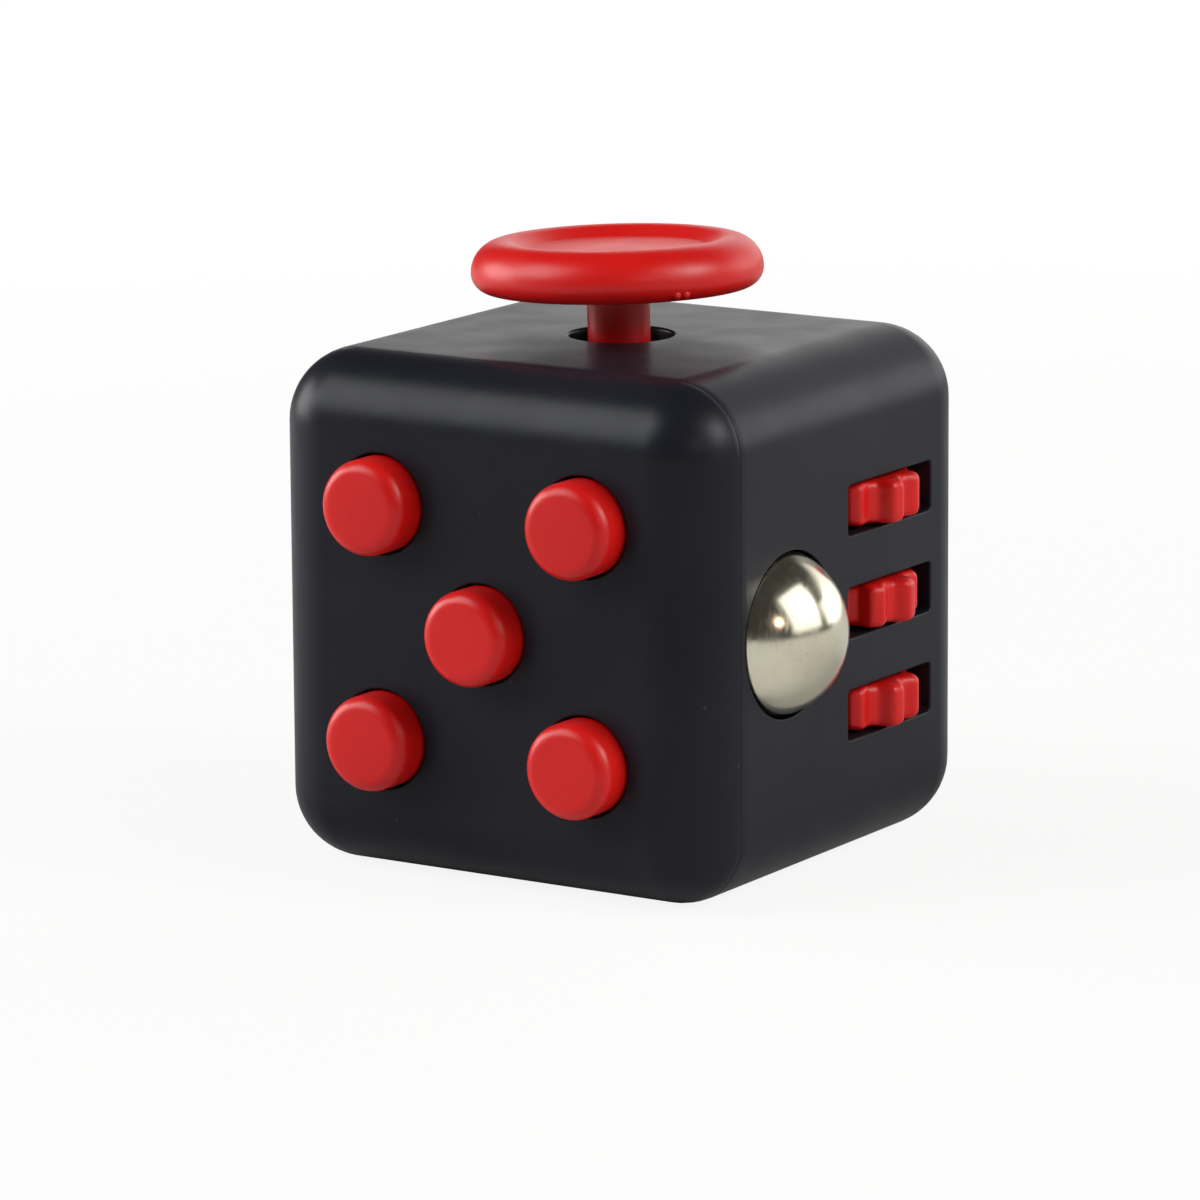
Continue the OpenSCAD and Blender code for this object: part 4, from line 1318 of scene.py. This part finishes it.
def makeScrew(length, tree):
    s = screwSettings
    head, shank = s["headRadius"], s["shankRadius"]
    corners = [(0, -s["headHeight"], 0), (head, -s["headHeight"], s["headRound"]), (head, 0, s["seatRound"]),
               (shank, 0, 0)]
    outline = filleted(corners, 5)
    rows = round(length / s["pitch"] * s["rowsPerPitch"])
    outline += [Vector((shank, length * row / rows)) for row in range(1, rows)]
    outline += [Vector((shank * s["tipShare"], length)), Vector((0, length))]
    screw = outlinePiece("panScrew", outline)
    runTree(screw, tree, {
        "Ring Outline": 0, "Segments": s["segments"], "Pitch": s["pitch"], "Thread Depth": s["threadDepth"],
        "Thread Start": s["pitch"], "Thread End": length, "Runout": s["runout"], "Material": screwSteel})
    recess = s["recess"]
    wide, reach, deep = recess["halfWidth"], recess["reach"], recess["depth"]
    for turn in (0, math.pi / 2):
        place = Matrix.Translation((0, 0, -s["headHeight"])) @ Matrix.Rotation(turn, 4, "Z")
        rings = [roundedRectangle(reach * grow, wide * grow, wide * grow * recess["cornerShare"], z, 2)
                 for z, grow in ((-2 * overcut, 1.1), (0, 1.0), (deep, recess["taper"]))]
        blade = bmesh.new()
        addStack(blade, rings, place)
        combine(screw, newPiece("crossBlade", blade), "DIFFERENCE")
    return screw


def makeScrewSet(kind, threadTree, setTree):
    face, node = screwFaces[kind], kind + "_screws"
    away = onFace(face).inverted()
    levels = sorted((away @ corner).z for corner in boxInMm(node))
    seat = levels[0] + screwSettings["headHeight"]
    screw = makeScrew(levels[1] - seat, threadTree)
    points = bmesh.new()
    for x, y in screwSpots[kind]:
        points.verts.new((x, y, seat))
    screws = newPiece(kind + "ScrewSet", points)
    runTree(screws, setTree, {"Screw": screw, "Largest Turn": 2 * math.pi, "Seed": screwSettings["seeds"][kind],
                              "Material": screwSteel})
    bpy.data.objects.remove(screw)
    finishPiece(screws, "case", "screw_steel", node, place=onFace(face), sharpAngle=40)


threadTree, screwSetTree = makeThreadTree(), makeScrewSetTree()
for kind in screwFaces:
    makeScrewSet(kind, threadTree, screwSetTree)


# Return spring under the joystick's foot

springSettings = {
    "wireRadius": 0.2,
    "turns": 4.0,
    "topRadius": 1.3,
    "stepsPerTurn": 32,
    "wireSides": 14,
    "keep": 0.84,  # what is left of its height where the stick leans furthest
}


def makeSpringTree():
    tree, given, out = newTree("coilSpring", [
        ("Turns", "Float"), ("Steps Per Turn", "Int"), ("Low Radius", "Float"), ("High Radius", "Float"),
        ("Height", "Float"), ("Wire Radius", "Float"), ("Wire Sides", "Int"), ("Material", "Material")])
    coil = addNode(tree, "GeometryNodeCurveSpiral", {
        "Resolution": given["Steps Per Turn"], "Rotations": given["Turns"], "Start Radius": given["Low Radius"],
        "End Radius": given["High Radius"], "Height": given["Height"]})
    wire = addNode(tree, "GeometryNodeCurvePrimitiveCircle", {
        "Resolution": given["Wire Sides"], "Radius": given["Wire Radius"]})
    tube = addNode(tree, "GeometryNodeCurveToMesh", {
        "Curve": coil.outputs[0], "Profile Curve": wire.outputs[0], "Fill Caps": True})
    endTree(tree, given, out, tube.outputs[0])
    return tree


def makeSpring():
    s = springSettings
    low, high = boxInMm("joystick_spring")
    middle = (low + high) / 2
    wire = s["wireRadius"]
    spring = newPiece("returnSpring", bmesh.new())
    runTree(spring, makeSpringTree(), {
        "Turns": s["turns"], "Steps Per Turn": s["stepsPerTurn"], "Low Radius": (high.x - low.x) / 2 - wire,
        "High Radius": s["topRadius"], "Height": high.z - low.z - 2 * wire, "Wire Radius": wire,
        "Wire Sides": s["wireSides"], "Material": springSteel})
    place = Matrix.Translation((middle.x, middle.y, low.z + wire))
    finishPiece(spring, "case", "spring_steel", "joystick_spring", place=place, sharpAngle=50)
    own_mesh(spring)


makeSpring()


# Domes that give under the buttons and the ball: four-legged snap domes of steel, and soft silicone ones

domeSettings = {
    "thickness": 0.15,
    "dimpleDepth": 0.06,
    "dimpleRadius": 0.45,
    "legCut": 0.8,  # share of the radius where the gaps between the legs begin
    "legCutHalf": 0.4,  # half the width of a gap, as a share of the radius
    "steps": 16,
    "sides": 72,
}
padSettings = {
    "wallRound": 0.15,
    "foot": 0.22,
    "footRound": 0.08,
    "footHollow": 0.1,
    "footInner": 1.95,
    "wallLow": 2.25,
    "wallHigh": 1.3,
    "hollow": 0.6,
    "hollowLow": 1.75,
    "hollowHigh": 0.95,
}


def flattenWith(piece):
    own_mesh(piece)


def domeSize(node):
    low, high = boxInMm(node)
    spread = sorted(high - low)
    return spread[2] / 2, spread[0]  # radius and height


def makeSnapDome(name, node, face, x, y, base):
    d = domeSettings
    radius, height = domeSize(node)
    bend = (radius ** 2 + height ** 2) / (2 * height)

    def level(r, sphere):
        dimple = d["dimpleDepth"] * math.exp(-(r / d["dimpleRadius"]) ** 2)
        return height - bend + math.sqrt(sphere ** 2 - r ** 2) - dimple

    inner = bend - d["thickness"]
    foot = math.sqrt(inner ** 2 - (bend - height) ** 2)
    steps = d["steps"]
    outline = [(radius * k / steps, level(radius * k / steps, bend)) for k in range(steps)]
    outline += [(radius, 0)]
    outline += [(foot * k / steps, max(level(foot * k / steps, inner), 0)) for k in range(steps, -1, -1)]
    mesh = bmesh.new()
    addTurned(mesh, outline, Matrix(), d["sides"])
    dome = newPiece(name, mesh)
    cutters = bmesh.new()
    wide = radius * d["legCutHalf"]
    for quarter in range(4):
        turn = Matrix.Rotation(math.pi / 2 * quarter, 4, "Z")
        addBlock(cutters, (radius * d["legCut"], -wide, -overcut), (2 * radius, wide, height), turn)
    combine(dome, newPiece("legGaps", cutters), "DIFFERENCE")
    place = onFace(face, x, y, base)
    finishPiece(dome, "case", "spring_steel", node, place=place, sharpAngle=40)
    flattenWith(dome)


def makeSoftDome(name, node, face, x, y, base):
    p = padSettings
    radius, height = domeSize(node)
    outer = [(0, height, 0), (p["wallHigh"], height, p["wallRound"]), (p["wallLow"], p["foot"], p["wallRound"]),
             (radius, p["foot"], p["footRound"]), (radius, 0, 0), (p["footInner"], 0, 0)]
    hollow = [(p["hollowLow"], p["footHollow"], 0), (p["hollowHigh"], p["hollow"], 0.1), (0, p["hollow"], 0)]
    mesh = bmesh.new()
    addTurned(mesh, filleted(outer + hollow), Matrix(), domeSettings["sides"])
    place = onFace(face, x, y, base)
    pad = newPiece(name, mesh)
    finishPiece(pad, "case", "silicone", node, place=place)
    flattenWith(pad)


for spot, (x, y) in buttonSpots.items():
    label = spot.title().replace("_", "")
    if "dome_" + spot in frame["nodes"]:
        makeSnapDome("snapDome" + label, "dome_" + spot, "front", x, y, plateFront)
    else:
        makeSoftDome("softDome" + label, "pad_" + spot, "front", x, y, plateFront)
makeSnapDome("ballSnapDome", "ball_dome", "right", ballPlace[0], 0, seatFront)


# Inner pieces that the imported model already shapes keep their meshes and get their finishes

replaced = {name for piece in scene.objects for name in piece.get("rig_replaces", [])}
slots = {part["node"]: part["material_slot"] for part in frame["record"]["subparts"]}
for name, node in frame["nodes"].items():
    if name not in replaced:
        node.data.materials.clear()
        node.data.materials.append(finishes[slots[name]])
        for polygon in node.data.polygons:
            polygon.material_index = 0
print("inner pieces finished:", len(frame["nodes"]) - len(replaced))


# Floor

def addFloor():
    mesh = bmesh.new()
    level = Matrix.Translation((0, 0, -floorSettings["drop"]))
    bmesh.ops.create_grid(mesh, x_segments=8, y_segments=8, size=floorSettings["size"], matrix=level)
    data = bpy.data.meshes.new("floor")
    mesh.to_mesh(data)
    mesh.free()
    data.materials.append(paleFloor("paleFloor", floorSettings))
    floor = bpy.data.objects.new("floor", data)
    scene.collection.objects.link(floor)


addFloor()
